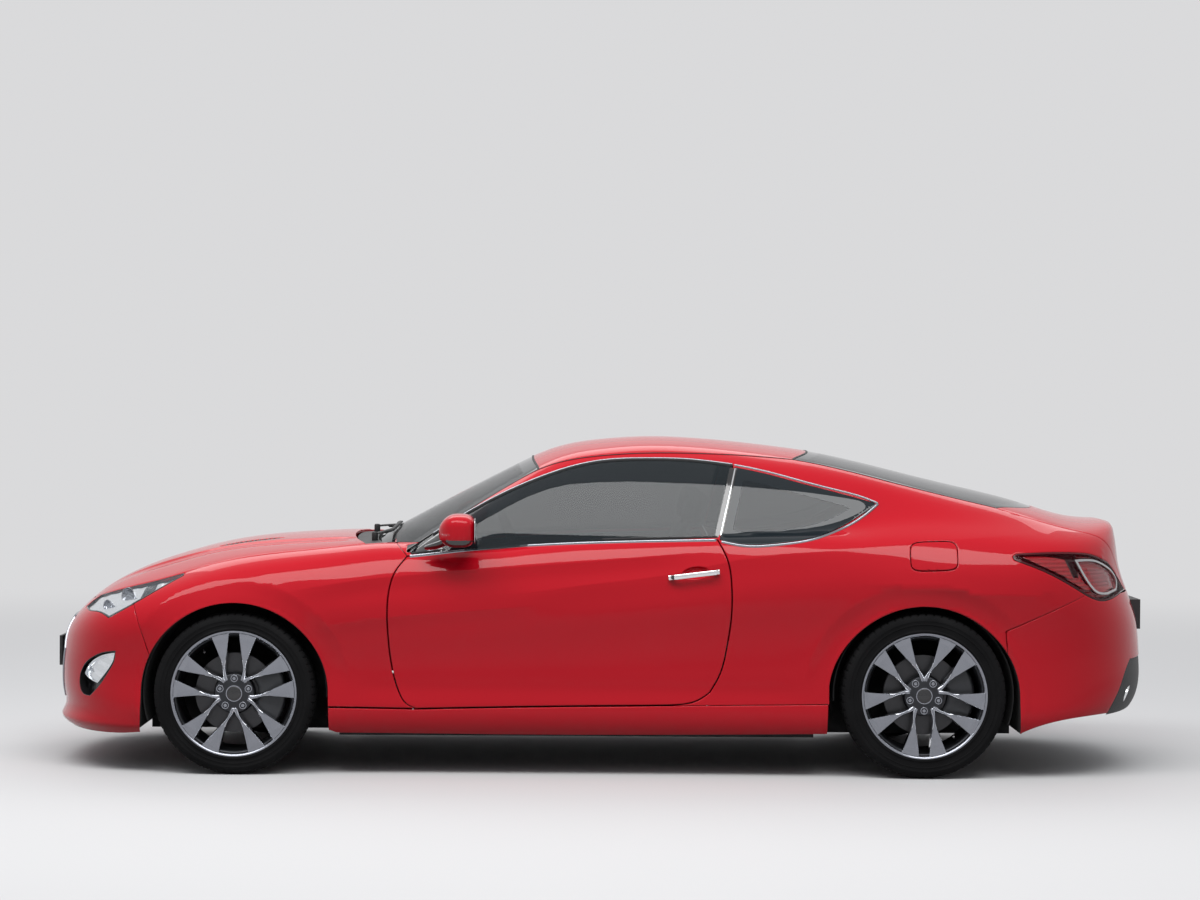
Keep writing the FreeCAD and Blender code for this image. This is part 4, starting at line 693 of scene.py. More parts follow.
# Finishes
def shade(name, colour, roughness=0.5, metallic=0.0, grain=(0, 0), mottle=(3, 0.06), **sockets):
    """A principled shader: broad noise varies the colour and roughness, fine noise gives the grain."""
    finish = bpy.data.materials.new(name)
    finish.use_nodes = True
    nodes, links = finish.node_tree.nodes, finish.node_tree.links
    shader = nodes["Principled BSDF"]
    shader.inputs["Metallic"].default_value = metallic
    for socket, number in sockets.items():
        shader.inputs[socket.replace("_", " ")].default_value = number
    place = nodes.new("ShaderNodeTexCoord")
    broad = nodes.new("ShaderNodeTexNoise")
    broad.inputs["Scale"].default_value = mottle[0]
    broad.inputs["Detail"].default_value = 5
    links.new(place.outputs["Object"], broad.inputs["Vector"])
    colours = nodes.new("ShaderNodeMix")
    colours.data_type = "RGBA"
    dark = [c * (1 - mottle[1]) for c in colour]
    light = [min(1, c * (1 + mottle[1])) for c in colour]
    colours.inputs["A"].default_value = dark + [1]
    colours.inputs["B"].default_value = light + [1]
    links.new(broad.outputs["Fac"], colours.inputs["Factor"])
    links.new(colours.outputs["Result"], shader.inputs["Base Color"])
    rough = nodes.new("ShaderNodeMapRange")
    rough.inputs["To Min"].default_value = max(0.0, roughness * (1 - 2 * mottle[1]))
    rough.inputs["To Max"].default_value = roughness * (1 + 2 * mottle[1])
    links.new(broad.outputs["Fac"], rough.inputs["Value"])
    links.new(rough.outputs["Result"], shader.inputs["Roughness"])
    if grain[1]:
        fine = nodes.new("ShaderNodeTexNoise")
        fine.inputs["Scale"].default_value = grain[0]
        fine.inputs["Detail"].default_value = 3
        links.new(place.outputs["Object"], fine.inputs["Vector"])
        bump = nodes.new("ShaderNodeBump")
        bump.inputs["Strength"].default_value = grain[1]
        bump.inputs["Distance"].default_value = 0.0006
        links.new(fine.outputs["Fac"], bump.inputs["Height"])
        links.new(bump.outputs["Normal"], shader.inputs["Normal"])
    return finish


def linear(colour):
    """The shader's linear numbers for a colour written as on a screen."""
    return [c / 12.92 if c < 0.04045 else ((c + 0.055) / 1.055) ** 2.4 for c in colour]


def glazed(name, colour, alpha, frit=0.0, roughness=0.02, ior=1.45):
    """Glass that turns to a black printed edge within the frit's distance of its outline."""
    finish = shade(name, colour, roughness, mottle=(2, 0.04), IOR=ior, Alpha=alpha)
    finish.surface_render_method = "BLENDED"
    if frit:
        nodes, links = finish.node_tree.nodes, finish.node_tree.links
        shader = nodes["Principled BSDF"]
        edge = nodes.new("ShaderNodeAttribute")
        edge.attribute_name = "border"
        clear = nodes.new("ShaderNodeMapRange")
        clear.inputs["From Min"].default_value = frit
        clear.inputs["From Max"].default_value = frit * 1.05 + 1
        clear.inputs["To Min"].default_value = 1.0
        clear.inputs["To Max"].default_value = alpha
        links.new(edge.outputs["Fac"], clear.inputs["Value"])
        links.new(clear.outputs["Result"], shader.inputs["Alpha"])
    return finish


def frit_edge(share):
    return bpy.context.scene.coupe_sizes.frit_width * 1000 * share


FINISHES = {}


def finishes(*names):
    """The named finishes, made once from the panel's colours."""
    colours = bpy.context.scene.coupe_colours
    made = []
    for name in names:
        if name not in FINISHES:
            FINISHES[name] = RECIPES[name](name, colours)
        made.append(FINISHES[name])
    return made


RECIPES = {
    "red_paint": lambda n, c: shade(
        n, linear(c.paint), 0.5, 0.0, (1400, 0.03), (1.3, 0.03), Coat_Weight=0.8, Coat_Roughness=0.02,
            Coat_IOR=1.36, Specular_IOR_Level=0.05),
    "side_glass": lambda n, c: glazed(n, (0.010, 0.016, 0.020), 0.66),
    "quarter_glass": lambda n, c: glazed(n, (0.008, 0.013, 0.017), 0.74, frit_edge(0.9)),
    "screen_glass": lambda n, c: glazed(n, (0.010, 0.015, 0.017), 0.60, frit_edge(1.1)),
    "rear_glass": lambda n, c: glazed(n, (0.008, 0.011, 0.013), 0.88, frit_edge(0.9)),
    "clear_lens": lambda n, c: glazed(n, (0.62, 0.68, 0.74), 0.06),
    "smoked_lens": lambda n, c: glazed(n, (0.080, 0.002, 0.006), 0.14, 5.0, ior=1.3),
    "red_lens": lambda n, c: shade(n, (0.55, 0.004, 0.012), 0.12, 0.0, (300, 0.1), Coat_Weight=1.0, IOR=1.6),
    "reflector": lambda n, c: shade(n, (0.86, 0.88, 0.90), 0.12, 1.0, (160, 0.25)),
    "lamp_black": lambda n, c: shade(n, (0.012, 0.012, 0.014), 0.25, 0.0, (400, 0.1), Coat_Weight=0.5),
    "chrome": lambda n, c: shade(n, (0.78, 0.79, 0.80), 0.07, 1.0, (500, 0.03)),
    "satin_trim": lambda n, c: shade(n, (0.30, 0.31, 0.34), 0.26, 1.0, (700, 0.08)),
    "black_gloss": lambda n, c: shade(n, (0.006, 0.006, 0.007), 0.08, 0.0, (500, 0.02), Coat_Weight=1.0),
    "black_plastic": lambda n, c: shade(n, (0.016, 0.016, 0.017), 0.55, 0.0, (900, 0.45)),
    "rubber_seal": lambda n, c: shade(n, (0.010, 0.010, 0.011), 0.62, 0.0, (600, 0.2)),
    "liner_felt": lambda n, c: shade(n, (0.012, 0.012, 0.013), 0.9, 0.0, (500, 0.8), (14, 0.2)),
    # tyre rubber: black rubber darkened further to near black, partly painted shade as under the body
    "tyre_rubber": lambda n,
        c: shade(n, (0.0045, 0.0045, 0.005), 0.8, 0.0, (420, 0.35), (9, 0.16), Specular_IOR_Level=0.15),
    "wheel_gunmetal": lambda n,
        c: shade(n, linear(c.wheel), 0.26, 1.0, (700, 0.05), Coat_Weight=0.3, Coat_Roughness=0.05),
    "wheel_bright": lambda n, c: shade(n, (0.80, 0.82, 0.86), 0.13, 1.0, (500, 0.04), Coat_Weight=0.5),
    # barrel, hub and spoke backs: dark grey metal darkened as painted shade inside the wheel, behind the
    # spokes
    "barrel_grey": lambda n, c: shade(n, (0.045, 0.047, 0.052), 0.40, 1.0, (400, 0.15), (20, 0.15)),
    # brake disc: iron darkened to near black, partly painted shade inside the wheel
    "disc_iron": lambda n, c: shade(n, (0.055, 0.055, 0.058), 0.40, 1.0, (260, 0.3), (40, 0.2)),
    "caliper_grey": lambda n, c: shade(n, (0.05, 0.052, 0.056), 0.45, 0.6, (300, 0.35)),
    "chassis_steel": lambda n, c: shade(n, (0.020, 0.020, 0.022), 0.55, 0.3, (200, 0.4), (12, 0.25)),
    "exhaust_steel": lambda n, c: shade(n, (0.34, 0.32, 0.30), 0.33, 1.0, (220, 0.3), (18, 0.2)),
    "underbody": lambda n, c: shade(n, (0.024, 0.024, 0.025), 0.8, 0.0, (160, 0.7), (8, 0.2)),
    "engine_metal": lambda n, c: shade(n, (0.12, 0.12, 0.125), 0.5, 0.8, (120, 0.6), (15, 0.2)),
    "cabin_trim": lambda n, c: shade(n, (0.020, 0.020, 0.022), 0.62, 0.0, (700, 0.6), (6, 0.1)),
    "headliner": lambda n, c: shade(n, (0.20, 0.19, 0.18), 0.95, 0.0, (900, 0.5), (6, 0.06)),
    "seat_leather": lambda n, c: shade(n, linear(c.seats), 0.46, 0.0, (330, 0.55), (5, 0.12)),
    "mirror_glass": lambda n, c: shade(n, (0.80, 0.82, 0.84), 0.02, 1.0),
}


# Outlines on the drawn form: (x, z) from the side, (x, y) from above, (y, z) from the front
BELT_LINE = [(700, 894), (937, 918), (1324, 948), (1680, 962), (1974, 970)]
DOOR_REAR = [(1944, 347), (1986, 425), (2012, 529), (2030, 660), (2030, 790), (2017, 878), (1974, 970)]
DOOR_FRONT = [(700, 894), (652, 828), (630, 759), (623, 673), (628, 559), (643, 444), (672, 341), (706, 290),
    (746, 273)]
DOOR_SILL = [(746, 273), (1050, 281), (1332, 287), (1600, 291), (1770, 294), (1840, 299), (1892, 313),
    (1944, 347)]
DOOR = [DOOR_SILL, DOOR_REAR, BELT_LINE[::-1], DOOR_FRONT]
PILLAR_EDGE = [
    (700, 909), (846, 1012), (947, 1067), (1053, 1126), (1256, 1217), (1370, 1255), (1522, 1284),
    (1685, 1291), (1860, 1288), (2044, 1268),
]
SIDE_GLASS = [[(x, z - 6) for x, z in BELT_LINE], [(1974, 964), (2044, 1268)], PILLAR_EDGE[::-1],
    [(700, 909), (700, 888)]]
QUARTER_LOW = [(1982, 970), (2082, 953), (2216, 958), (2441, 1003), (2632, 1110)]
QUARTER_TOP = [(2632, 1122), (2470, 1166), (2315, 1205), (2190, 1238), (2052, 1266)]
QUARTER_GLASS = [QUARTER_LOW, [(2632, 1110), (2632, 1122)], QUARTER_TOP, [(2052, 1266), (1982, 970)]]
HEADLAMP_NOSE = [(-674, 655), (-640, 648), (-582, 649), (-530, 630)]
HEADLAMP_CORNER = [(-530, 630), (-420, 690)]
HEADLAMP_WING = [(-420, 692), (-310, 757), (-222, 808)]
FOG_POCKET = [[(-496, 496), (-550, 487), (-604, 462), (-642, 428), (-662, 390)],
    [(-662, 390), (-664, 345), (-648, 312), (-612, 306)],
              [(-612, 306), (-568, 352), (-524, 415), (-500, 460), (-496, 496)]]
FOG_LAMP = [[(-503, 489), (-552, 479), (-602, 455), (-638, 420), (-652, 392)],
    [(-652, 392), (-628, 374), (-584, 358)],
            [(-584, 358), (-532, 420), (-508, 462), (-503, 489)]]
TAIL_LAMP_SIDE = [(3186, 897), (3330, 840), (3488, 752)]
TAIL_LAMP_CORNER = [(3488, 752), (3561, 724), (3674, 747)]
TAIL_LAMP_TOP = [(3611, 878), (3530, 914), (3440, 926), (3330, 928), (3196, 923)]
SILL = [
    [(300, 276), (746, 269)], [(746, 269), (1050, 277), (1332, 283), (1600, 287), (1770, 290), (1830, 291)],
    [(1830, 291), (2520, 303)],
    [(2520, 303), (2520, 182)], [(2520, 182), (1400, 168), (420, 172)], [(420, 172), (300, 215)],
    [(300, 215), (300, 276)],
]
HOOD_SIDE = [(-606, -455), (-560, -530), (-480, -610), (-360, -690), (-222, -742), (0, -748), (300, -732),
    (525, -706)]
HOOD_FRONT = [(-606, -455), (-650, -340), (-668, -200), (-672, 0)]
HOOD_REAR = [(525, -706), (480, -500), (452, -250), (446, 0)]
COWL_REAR = [(612, -712), (574, -540), (550, -300), (543, 0)]
SCREEN_SIDE = [(612, -712), (800, -676), (1000, -630), (1235, -580)]
ROOF_FRONT = [(1235, -580), (1210, -300), (1204, 0)]
ROOF_SIDE = [(1235, -580), (1500, -562), (1900, -548), (2300, -520)]
ROOF_REAR = [(2300, -520), (2372, -260), (2387, 0)]
BACKLIGHT_SIDE = [(2300, -520), (2600, -560), (2900, -590), (3142, -612)]
BACKLIGHT_REAR = [(3142, -612), (3270, -440), (3345, -220), (3363, 0)]
LID_SIDE = [(-641, 712), (-648, 544), (-634, 440), (-600, 346), (-510, 240), (-468, 136)]
GRILLE = [(-330, 612), (330, 612), (430, 470), (330, 268), (-330, 268), (-430, 470)]


def across(run):
    return run + [(x, -y) for x, y in run[::-1][1:]]


def plan(front, side, rear):
    """The loop of a piece seen from above that is the same on both sides."""
    return loop(across(front), [(x, -y) for x, y in side], across(rear)[::-1], side[::-1])


def from_side(run, chart=body_chart, to=on_ring, step=12.0):
    return to(chart(traced(run, step))[0])


def from_top(run, to=on_ring, chart=cabin_top_chart, step=12.0):
    return to(chart(traced(run, step))[0])


def arc_side(opening, start, end, to=on_ring, count=90):
    """A run round a wheel opening, from one angle to another in degrees."""
    t = np.radians(np.linspace(start, end, count))
    return to(side_chart(opening_crown(*opening, t))[0])


def both(name, shape, finish_names, body, slot, node, right_body=None):
    """The left piece and its mirrored right one, each for its own node."""
    made = []
    for side, other, carrier in (("left", shape, body), ("right", shape.mirrored(), right_body or body)):
        full = "%s_%s" % (side, name)
        made.append(finish_shape(full + "_skin", other, finishes(*finish_names), carrier, slot,
            (node.format(side=side),) if node else ()))
    return made


def toward(line_points, p, reach, fade):
    """exp(-|t|/reach) of the height t above a line of (x, z), faded out over its two ends."""
    height = smooth_line(line_points)
    t = p[:, 2] - height(p[:, 0])
    first, last = line_points[0][0], line_points[-1][0]
    ends = eased((p[:, 0] - first) / fade) * eased((last - p[:, 0]) / fade)
    return t, ends, np.exp(-np.sqrt(t * t + 9.0) / reach)


UPPER_CREASE = [(150, 735), (384, 778), (700, 818), (997, 844), (1400, 875), (1810, 910), (1990, 926)]
LOWER_CREASE = [(280, 590), (476, 626), (997, 678), (1300, 705)]
SHOULDER = [(1050, 735), (1185, 750), (1480, 790), (1759, 826), (2023, 882), (2500, 935), (2950, 975),
    (3350, 1000)]


def side_relief(p):
    """The side's creases: ridges of a few millimetres along three lines, hollow below the upper ones,
    a flare round each arch of 7 exp(-(r - arch)/34) and a hollow above the sill."""
    total = np.zeros(len(p))
    t, ends, ridge = toward(UPPER_CREASE, p, 26.0, 330.0)
    total += ends * (5.5 * ridge - 5.0 * np.exp(-((t + 52) / 46) ** 2))
    t, ends, ridge = toward(SHOULDER, p, 30.0, 420.0)
    total += ends * (4.5 * ridge - 3.2 * np.exp(-((t + 60) / 55) ** 2))
    t, ends, ridge = toward(LOWER_CREASE, p, 24.0, 260.0)
    total += ends * (2.6 * ridge - 1.8 * np.exp(-((t + 45) / 40) ** 2))
    for x, z, radius, wider in (FRONT_OPENING, REAR_OPENING):
        off = np.hypot((p[:, 0] - x) / (1 + wider), p[:, 2] - z) - radius
        crest = np.exp(-np.sqrt((off - 92) ** 2 + 16.0) / 20.0)
        upper = eased((p[:, 2] - z + 120) / 260)
        total += upper * (2.8 * crest
            + 2.0 * eased((10 - off) / 10)) - 2.4 * upper * np.exp(-((off - 48) / 30) ** 2)
    total -= 3.0 * np.exp(-((p[:, 2] - 350) / 38) ** 2) * eased((p[:, 0] - 420) / 200) * eased(
        (2400 - p[:, 0]) / 200)
    return total


HANDLE = ((1883, 836), 60.0, 27.0)


def door_relief(p):
    """The side's creases and an oval cup behind the handle, 15 (1 - r^2)^2 deep."""
    (x, z), wide, high = HANDLE
    tilt = 0.128
    u = ((p[:, 0] - x) + (p[:, 2] - z) * tilt) / wide
    v = ((p[:, 2] - z) - (p[:, 0] - x) * tilt) / high
    cup = np.clip(1.0 - (u * u + v * v) ** 1.5, 0, 1)
    return side_relief(p) - 15.0 * eased(cup)


def dots(centre, wide, high, spacing):
    """Extra places round a small feature."""
    x, y = np.meshgrid(np.arange(-wide, wide, spacing), np.arange(-high, high, spacing))
    return np.stack([centre[0] + x.ravel(), centre[1] + y.ravel()], -1)


def rows_beside(run, offsets, step=9.0, to=None, chart=side_chart):
    """Extra rows along a crease."""
    base = traced(run, step)
    rows = [base + [0, off] for off in offsets]
    if to is None:
        return rows
    return [to(chart(row)[0]) for row in rows]


CREASE_ROWS = (-34, -18, -8, -3, 0, 3, 8, 18, 34)


class Doors:
    """The two doors: skin, inner trim and glass."""

    def build(self):
        ring = loop(*DOOR)
        rows = rows_beside(UPPER_CREASE, CREASE_ROWS) + rows_beside(SHOULDER,
            CREASE_ROWS) + rows_beside(LOWER_CREASE, CREASE_ROWS)
        rows.append(dots(HANDLE[0], 75, 45, 3.0))
        skin = panel(side_chart, [grown(ring, -HALF_GAP)], [], PANEL_SPACING, 4.0, 0.0, 3.0, door_relief, rows)
        both("door", skin, ["red_paint"], "left_door_body", "body_red", "{side}_door", "right_door_body")
        inner = panel(side_chart, [grown(loop(*DOOR, step=26.0), -24)], [], 34.0, 64.0, 20.0, 8.0)
        both("door_inside", inner, ["cabin_trim"], "left_door_body", "cabin_trim", None, "right_door_body")
        glass = panel(glass_side_chart, [grown(loop(*SIDE_GLASS), -HALF_GAP)], [], 26.0, 5.0, 4.0, 2.0)
        both("door_glass", glass, ["side_glass"], "left_door_body", "window_glass", "{side}_door_glass",
            "right_door_body")


def body_side_shape(with_flap):
    """Pillar, roof rail and quarter panel in one sheet; only the left one has the fuel flap's opening."""
    top = [from_top([(640, -709), (800, -676), (1000, -630), (1235, -580)]), from_top(ROOF_SIDE),
        from_top(BACKLIGHT_SIDE)]
    lid = on_ring_lid()
    keep = np.concatenate([
        from_side([(705, 893), (640, 957)]), top[0][:-1], top[1][:-1], top[2], lid,
        from_side([(x, z + 1) for x, z in TAIL_LAMP_TOP], step=8),
            from_side([(3196, 924), (3179, 911), (3186, 896)], step=5),
        from_side([(x, z - 1) for x, z in TAIL_LAMP_SIDE], step=8), from_side([(3488, 751), (3150, 606)]),
        from_side([(3150, 606), (3158, 516)]), arc_side(REAR_OPENING, 28.8, 174),
            from_side([(2430, 303), (1836, 292)]),
        from_side([(1836, 292), (700, 292)]),
    ])
    cuts = [on_ring(side_chart(grown(loop(*DOOR), HALF_GAP))[0]),
            on_ring(glass_side_chart(grown(loop(*SIDE_GLASS), HALF_GAP))[0]),
            on_ring(body_chart(loop(*QUARTER_GLASS))[0])]
    if with_flap:
        cuts.append(on_ring(body_chart(grown(rounded_flap(), HALF_GAP * 0.6))[0]))
    rows = rows_beside(SHOULDER, CREASE_ROWS, to=on_ring) + rows_beside(UPPER_CREASE[-3:], CREASE_ROWS,
        to=on_ring)
    return panel(ring_chart, [keep], cuts, PANEL_SPACING, 3.0, 0.0, 3.0, side_relief, rows)


def on_ring_lid():
    """The lid's side line, a shut gap outboard, in the ring's numbers."""
    run = np.array([(y - 6 if y < 0 else y, arc) for y, arc in [(-641, 700)] + LID_SIDE[1:]], float)
    return on_ring(lid_chart(traced(run, 10))[0])


def rounded_flap():
    """The fuel flap's outline with round corners: a superellipse of the fourth power."""
    ring = oval(2856.5, 910.5, 96.5, 58, 0, 4.8, 72)
    return ring + np.stack([0 * ring[:, 0], (ring[:, 0] - 2856.5) * 0.031], -1)


# Wheels: everything is turned about Y, with +Y outboard, then mirrored for the left side
class Wheels:
    """Tyres, spoked rims, brake discs and calipers of the four corners."""

    CORNERS = (
        ("front_left", FRONT_AXLE, -FRONT_MIDDLE, FRONT_RADIUS, 112.5, 90.0, "left_knuckle_body"),
        ("front_right", FRONT_AXLE, FRONT_MIDDLE, FRONT_RADIUS, 112.5, 90.0, "right_knuckle_body"),
        ("rear_left", REAR_AXLE, -REAR_MIDDLE, REAR_RADIUS, 122.5, 270.0, "body_shell"),
        ("rear_right", REAR_AXLE, REAR_MIDDLE, REAR_RADIUS, 122.5, 270.0, "body_shell"),
    )
    BEAD = 241.3

    def build(self):
        for name, x, y, radius, half, spoke_turn, carrier in self.CORNERS:
            body = name + "_wheel"
            place = (lambda s: s.moved(x, y, radius)) if y > 0 else (
                lambda s: s.mirrored().moved(x, y, radius))
            tyre = place(self.tyre(radius, half))
            finish_shape(name + "_tyre_tread", tyre, finishes("tyre_rubber"), body, "tyre_rubber",
                (name + "_tyre",))
            rim = place(self.rim(half, spoke_turn))
            names = ("wheel_gunmetal", "wheel_bright", "barrel_grey", "lamp_black")
            finish_shape(name + "_rim_spokes", rim, finishes(*names), body, "rim_metal", (name + "_rim",))
            finish_shape(name + "_brake_disc", place(self.disc()), finishes("disc_iron", "barrel_grey"), body,
                "rim_metal")
            finish_shape(name + "_caliper", place(self.caliper()), finishes("caliper_grey"), carrier,
                "chassis_steel")
        wells = []
        for opening, inboard in ((FRONT_OPENING, -488.0), (REAR_OPENING, -552.0)):
            line = opening_line(*opening)
            place, way = side_chart(line)
            edge = place + way * 3.0
            wall = np.stack([edge[:, 0], 0 * edge[:, 0] + inboard, edge[:, 2]], -1)
            outer = np.stack([line[:, 0] - opening[0], 0 * line[:, 0], line[:, 1] - opening[1]], -1)
            outer *= 4.0 / np.linalg.norm(outer, axis=1, keepdims=True)
            foot = np.stack([wall[:, 0], wall[:, 1], 0 * wall[:, 0] + line[0, 1] - WELL_DROP], -1)
            for rows in ((edge, wall, wall + outer, edge + outer),
                    (wall, foot, foot + [0, 4, 0], wall + [0, 4, 0])):
                wells.append(outward(creased(merged(grid_shape(np.stack(rows, 1), close_v=True)), 30)))
        pair = joined(*wells)
        finish_shape("wheel_wells", joined(pair, pair.mirrored()), finishes("liner_felt"), "body_shell",
            "black_plastic")

    def tyre(self, radius, half):
        """Tread, round shoulders and a side wall with shallow rings, closed through the bead seat."""
        sizes = bpy.context.scene.coupe_sizes
        depth = sizes.tread_depth * 1000
        grooves = np.linspace(-1, 1, 4) * (half - 52)
        tread = [(radius - 0.00055 * y * y, y) for y in np.linspace(-half + 24, half - 24, 14)]
        for y in grooves:
            tread = [row for row in tread if abs(row[1] - y) > 6.5]
            for off, cut in ((-5.2, 0), (-4.0, depth), (4.0, depth), (5.2, 0)):
                tread.append((radius - 0.00055 * (y + off) ** 2 - cut, y + off))
        tread.sort(key=lambda row: row[1])
        wall = [
            (radius - 7, half - 15), (radius - 13, half - 8), (radius - 21, half - 3.5),
            (radius - 30, half - 0.8),
            (radius - 33, half - 0.8), (radius - 33.8, half - 1.6), (radius - 44, half - 2.4),
            (radius - 44.8, half - 1.4),
            (radius - 48, half - 1.6), (radius - 49, half - 3.2), (self.BEAD + 29, half - 4.5),
            (self.BEAD + 26, half - 1.6),
            (self.BEAD + 21, half - 1.0), (self.BEAD + 18, half - 4), (self.BEAD + 16, half - 9),
            (self.BEAD + 1, half - 14),
        ]
        profile = tread + wall + [(r, -y) for r, y in wall[::-1]]

        def wave(t, along, r):
            """Lateral slots: the radius drops where a slanted cosine of the turn is near its crest."""
            count = sizes.tread_blocks
            outer = np.abs(along) > half - 46
            slant = t * count + np.where(outer, 0.10, 0.42) * np.sign(along) * along / 12.0
            slot = eased((np.cos(slant) - 0.80) / 0.10)
            tread_face = eased((r - (radius - 14)) / 6)
            deep = np.where(outer, depth * 0.75, depth * 0.45) * (np.abs(along) < half - 10)
            return -slot * tread_face * deep

        return turned(profile, COLUMNS_PER_BLOCK * sizes.tread_blocks, 0, 32.0, wave)

    def rim(self, half, spoke_turn):
        """Barrel with a bright lip, five pairs of blades, hub, bolts, plain cap and valve."""
        bead = self.BEAD
        lip = [
            (bead + 1, half - 22), (bead + 3, half - 12), (bead + 7, half - 7), (bead + 11, half - 4),
            (bead + 15.5, half - 2.2),
            (bead + 17, half - 3.6), (bead + 17, half - 8), (bead + 6, half - 15), (bead + 5, half - 22)]
        barrel = [
            (bead + 1, half - 22), (bead - 3, half - 34), (bead - 2, 20), (bead - 2, -half + 18),
            (bead + 17, -half + 9),
            (bead + 17, -half + 3), (bead - 10, -half + 3), (bead - 14, -half + 20), (bead - 16, 10),
            (bead - 13, half - 44), (bead - 4, half - 24)]
        # the barrel takes finish 2, a dark grey that is partly painted shade behind the spokes
        pieces = [turned(lip, 168, 0, 40.0), turned(barrel, 168, 2, 40.0)]
        r = np.concatenate([np.linspace(60, 150, 16), np.linspace(156, bead + 6, 16)])
        inner = smooth_line([(60, 24), (78, 31), (109, 36), (150, 32.5), (200, 26), (240, 22), (250, 21.5)])(
            r)
        outer = smooth_line(
            [(60, 42), (78, 47), (109, 49), (130, 50.5), (160, 60), (200, 75), (240, 91), (250, 95)])(r)
        face = smooth_line(
            [(60, half - 26), (90, half - 21), (150, half - 14), (200, half - 9.5), (248, half - 7)])(r)
        back = face - smooth_line([(60, 26), (120, 24), (248, 26)])(r)
        hollow = 2.5 * eased((r - 120) / 60) * eased((246 - r) / 20)
        flank = 1.6 + 5.0 * eased((165 - r) / 60)
        rows = [
            (inner + flank * 0.5, face), ((inner + outer) / 2, face - hollow), (outer - flank * 0.5, face),
            (outer + 0.6, face - flank),
            (outer + 3.5, back), (inner - 3.5, back), (inner - 0.6, face - flank)]
        # the blades' backs take finish 2: painted shade behind the spokes
        columns = [0, 0, 1, 1, 2, 1, 1]
        for k in range(5):
            for sign in (-1, 1):
                middle = math.radians(spoke_turn + 72 * k)
                angle = np.stack([middle + sign * across / r for across, _ in rows], -1)
                depth = np.stack([out for _, out in rows], -1)
                blade = np.stack([r[:, None] * np.cos(angle), depth, r[:, None] * np.sin(angle)], -1)
                pieces.append(capped(blade, columns, 40.0))
        hub = [(0, half - 23), (31, half - 23), (34, half - 24), (70, half - 27), (79, half - 32),
            (81, half - 52), (60, half - 62), (0, half - 62)]
        # the hub takes finish 2: painted shade behind the spokes
        pieces.append(turned(hub, 72, 2, 35.0))
        cap = [(0, half - 16.5), (16, half - 16.8), (27, half - 18.5), (30, half - 21), (30, half - 25),
            (0, half - 25)]
        ring = [(29.5, half - 19.5), (31.5, half - 18.6), (33.5, half - 19.5), (33.5, half - 25),
            (29.5, half - 25)]
        pieces += [turned(cap, 60, 3, 40.0), turned(ring, 60, 0, 40.0)]
        for k in range(5):
            middle = math.radians(spoke_turn + 72 * k)
            spot = np.array([61.0 * math.cos(middle), 0, 61.0 * math.sin(middle)])
            seat = [(11.5, half - 24.5), (13.5, half - 23.5), (15.0, half - 24.5), (15.0, half - 34),
                (11.5, half - 34)]
            # the black disc at the foot of each bolt hole is painted shade in the recess round the bolt
            well = [(0, half - 27.5), (12.5, half - 27.5), (12.5, half - 34), (0, half - 34)]
            bolt = [(0, half - 22.5), (4, half - 22.5), (7.5, half - 23.4), (8.4, half - 25),
                (8.4, half - 29), (0, half - 29)]
            pieces += [turned(seat, 36, 0, 40.0).moved(*spot), turned(well, 24, 3).moved(*spot),
                turned(bolt, 6, 0, 20.0).moved(*spot)]
        valve = turned([(0, 0), (3.6, 0), (3.6, 24), (4.6, 25), (4.6, 34), (0, 35)], 14, 3)
        angle = math.radians(spoke_turn + 36)
        pieces.append(aimed(valve, (-0.5 * math.cos(angle), 0.85, -0.5 * math.sin(angle)),
                            [(bead - 18) * math.cos(angle), half - 52, (bead - 18) * math.sin(angle)]))
        return joined(*pieces)

    def disc(self):
        """Two friction rings with vanes between them, on a bell."""
        outer = [(84, 47.5), (160, 47.5), (163, 46), (163, 38), (84, 38)]
        inner = [(84, 30), (163, 30), (163, 22), (160, 20.5), (84, 20.5)]
        bell = [(60, 62), (80, 60), (85, 54), (86, 22), (78, 22), (76, 52), (60, 54)]
        # rings, bell and vanes are near black partly as painted shade inside the wheel
        pieces = [turned(outer, 96, 0, 30.0), turned(inner, 96, 0, 30.0), turned(bell, 72, 1, 30.0)]
        turns = np.arange(36) / 36 * 2 * np.pi
        reach = np.array([88.0, 161.0])
        for t in turns:
            across = np.array([-2.0, 2.0])
            rows = [[[r * math.cos(t) - a * math.sin(t), y, r * math.sin(t) + a * math.cos(t)]
                     for a,
                         y in ((across[0], 29), (across[1], 29), (across[1], 39),
                         (across[0], 39))] for r in reach]
            pieces.append(capped(np.array(rows), 1, 20.0))
        return joined(*pieces)

    def caliper(self):
        """A bridge round the rear of the disc: a rounded section over an arc, with two raised pistons."""
        t = np.radians(np.linspace(-41, 41, 40))
        rise = 5.0 * np.sin((t - t[0]) / (t[-1] - t[0]) * np.pi) ** 0.5
        section = [(99, 3), (120, 0), (196, 0), (207, 5), (212, 18), (212, 50), (207, 62), (196, 66),
            (120, 66), (99, 63), (96, 50), (96, 16)]
        points = []
        for r, y in section:
            bump = 3.2 * np.exp(-((np.abs(np.degrees(t)) - 20) / 7.0) ** 2) * (y > 60) * (r < 200)
            points.append(
                np.stack([(r - 4 + rise * 0.7) * np.cos(t), y + bump + 0 * t,
                (r - 4 + rise * 0.7) * np.sin(t)], -1))
        rows = np.stack(points, 1)
        shrink = np.concatenate([[0.86, 0.96], np.ones(36), [0.96, 0.86]])[:, None, None]
        middle = rows.mean(1, keepdims=True)
        return capped(middle + (rows - middle) * shrink, 0, 45.0)


# Outlines of the lamps in their charts' numbers
def headlamp_ring(chart_numbers, step=9.0):
    """The left headlamp: its lower edge, then the hood's side back to the front corner."""
    hood = [(x, y - 5) for x, y in HOOD_SIDE[:5]][::-1]
    low = [from_side(run, side_chart, chart_numbers, step)[:-1] for run in (HEADLAMP_NOSE, HEADLAMP_CORNER)]
    return np.concatenate(low
        + [from_side(HEADLAMP_WING, side_chart, chart_numbers, step),
        from_top(hood, chart_numbers, top_chart, step)])


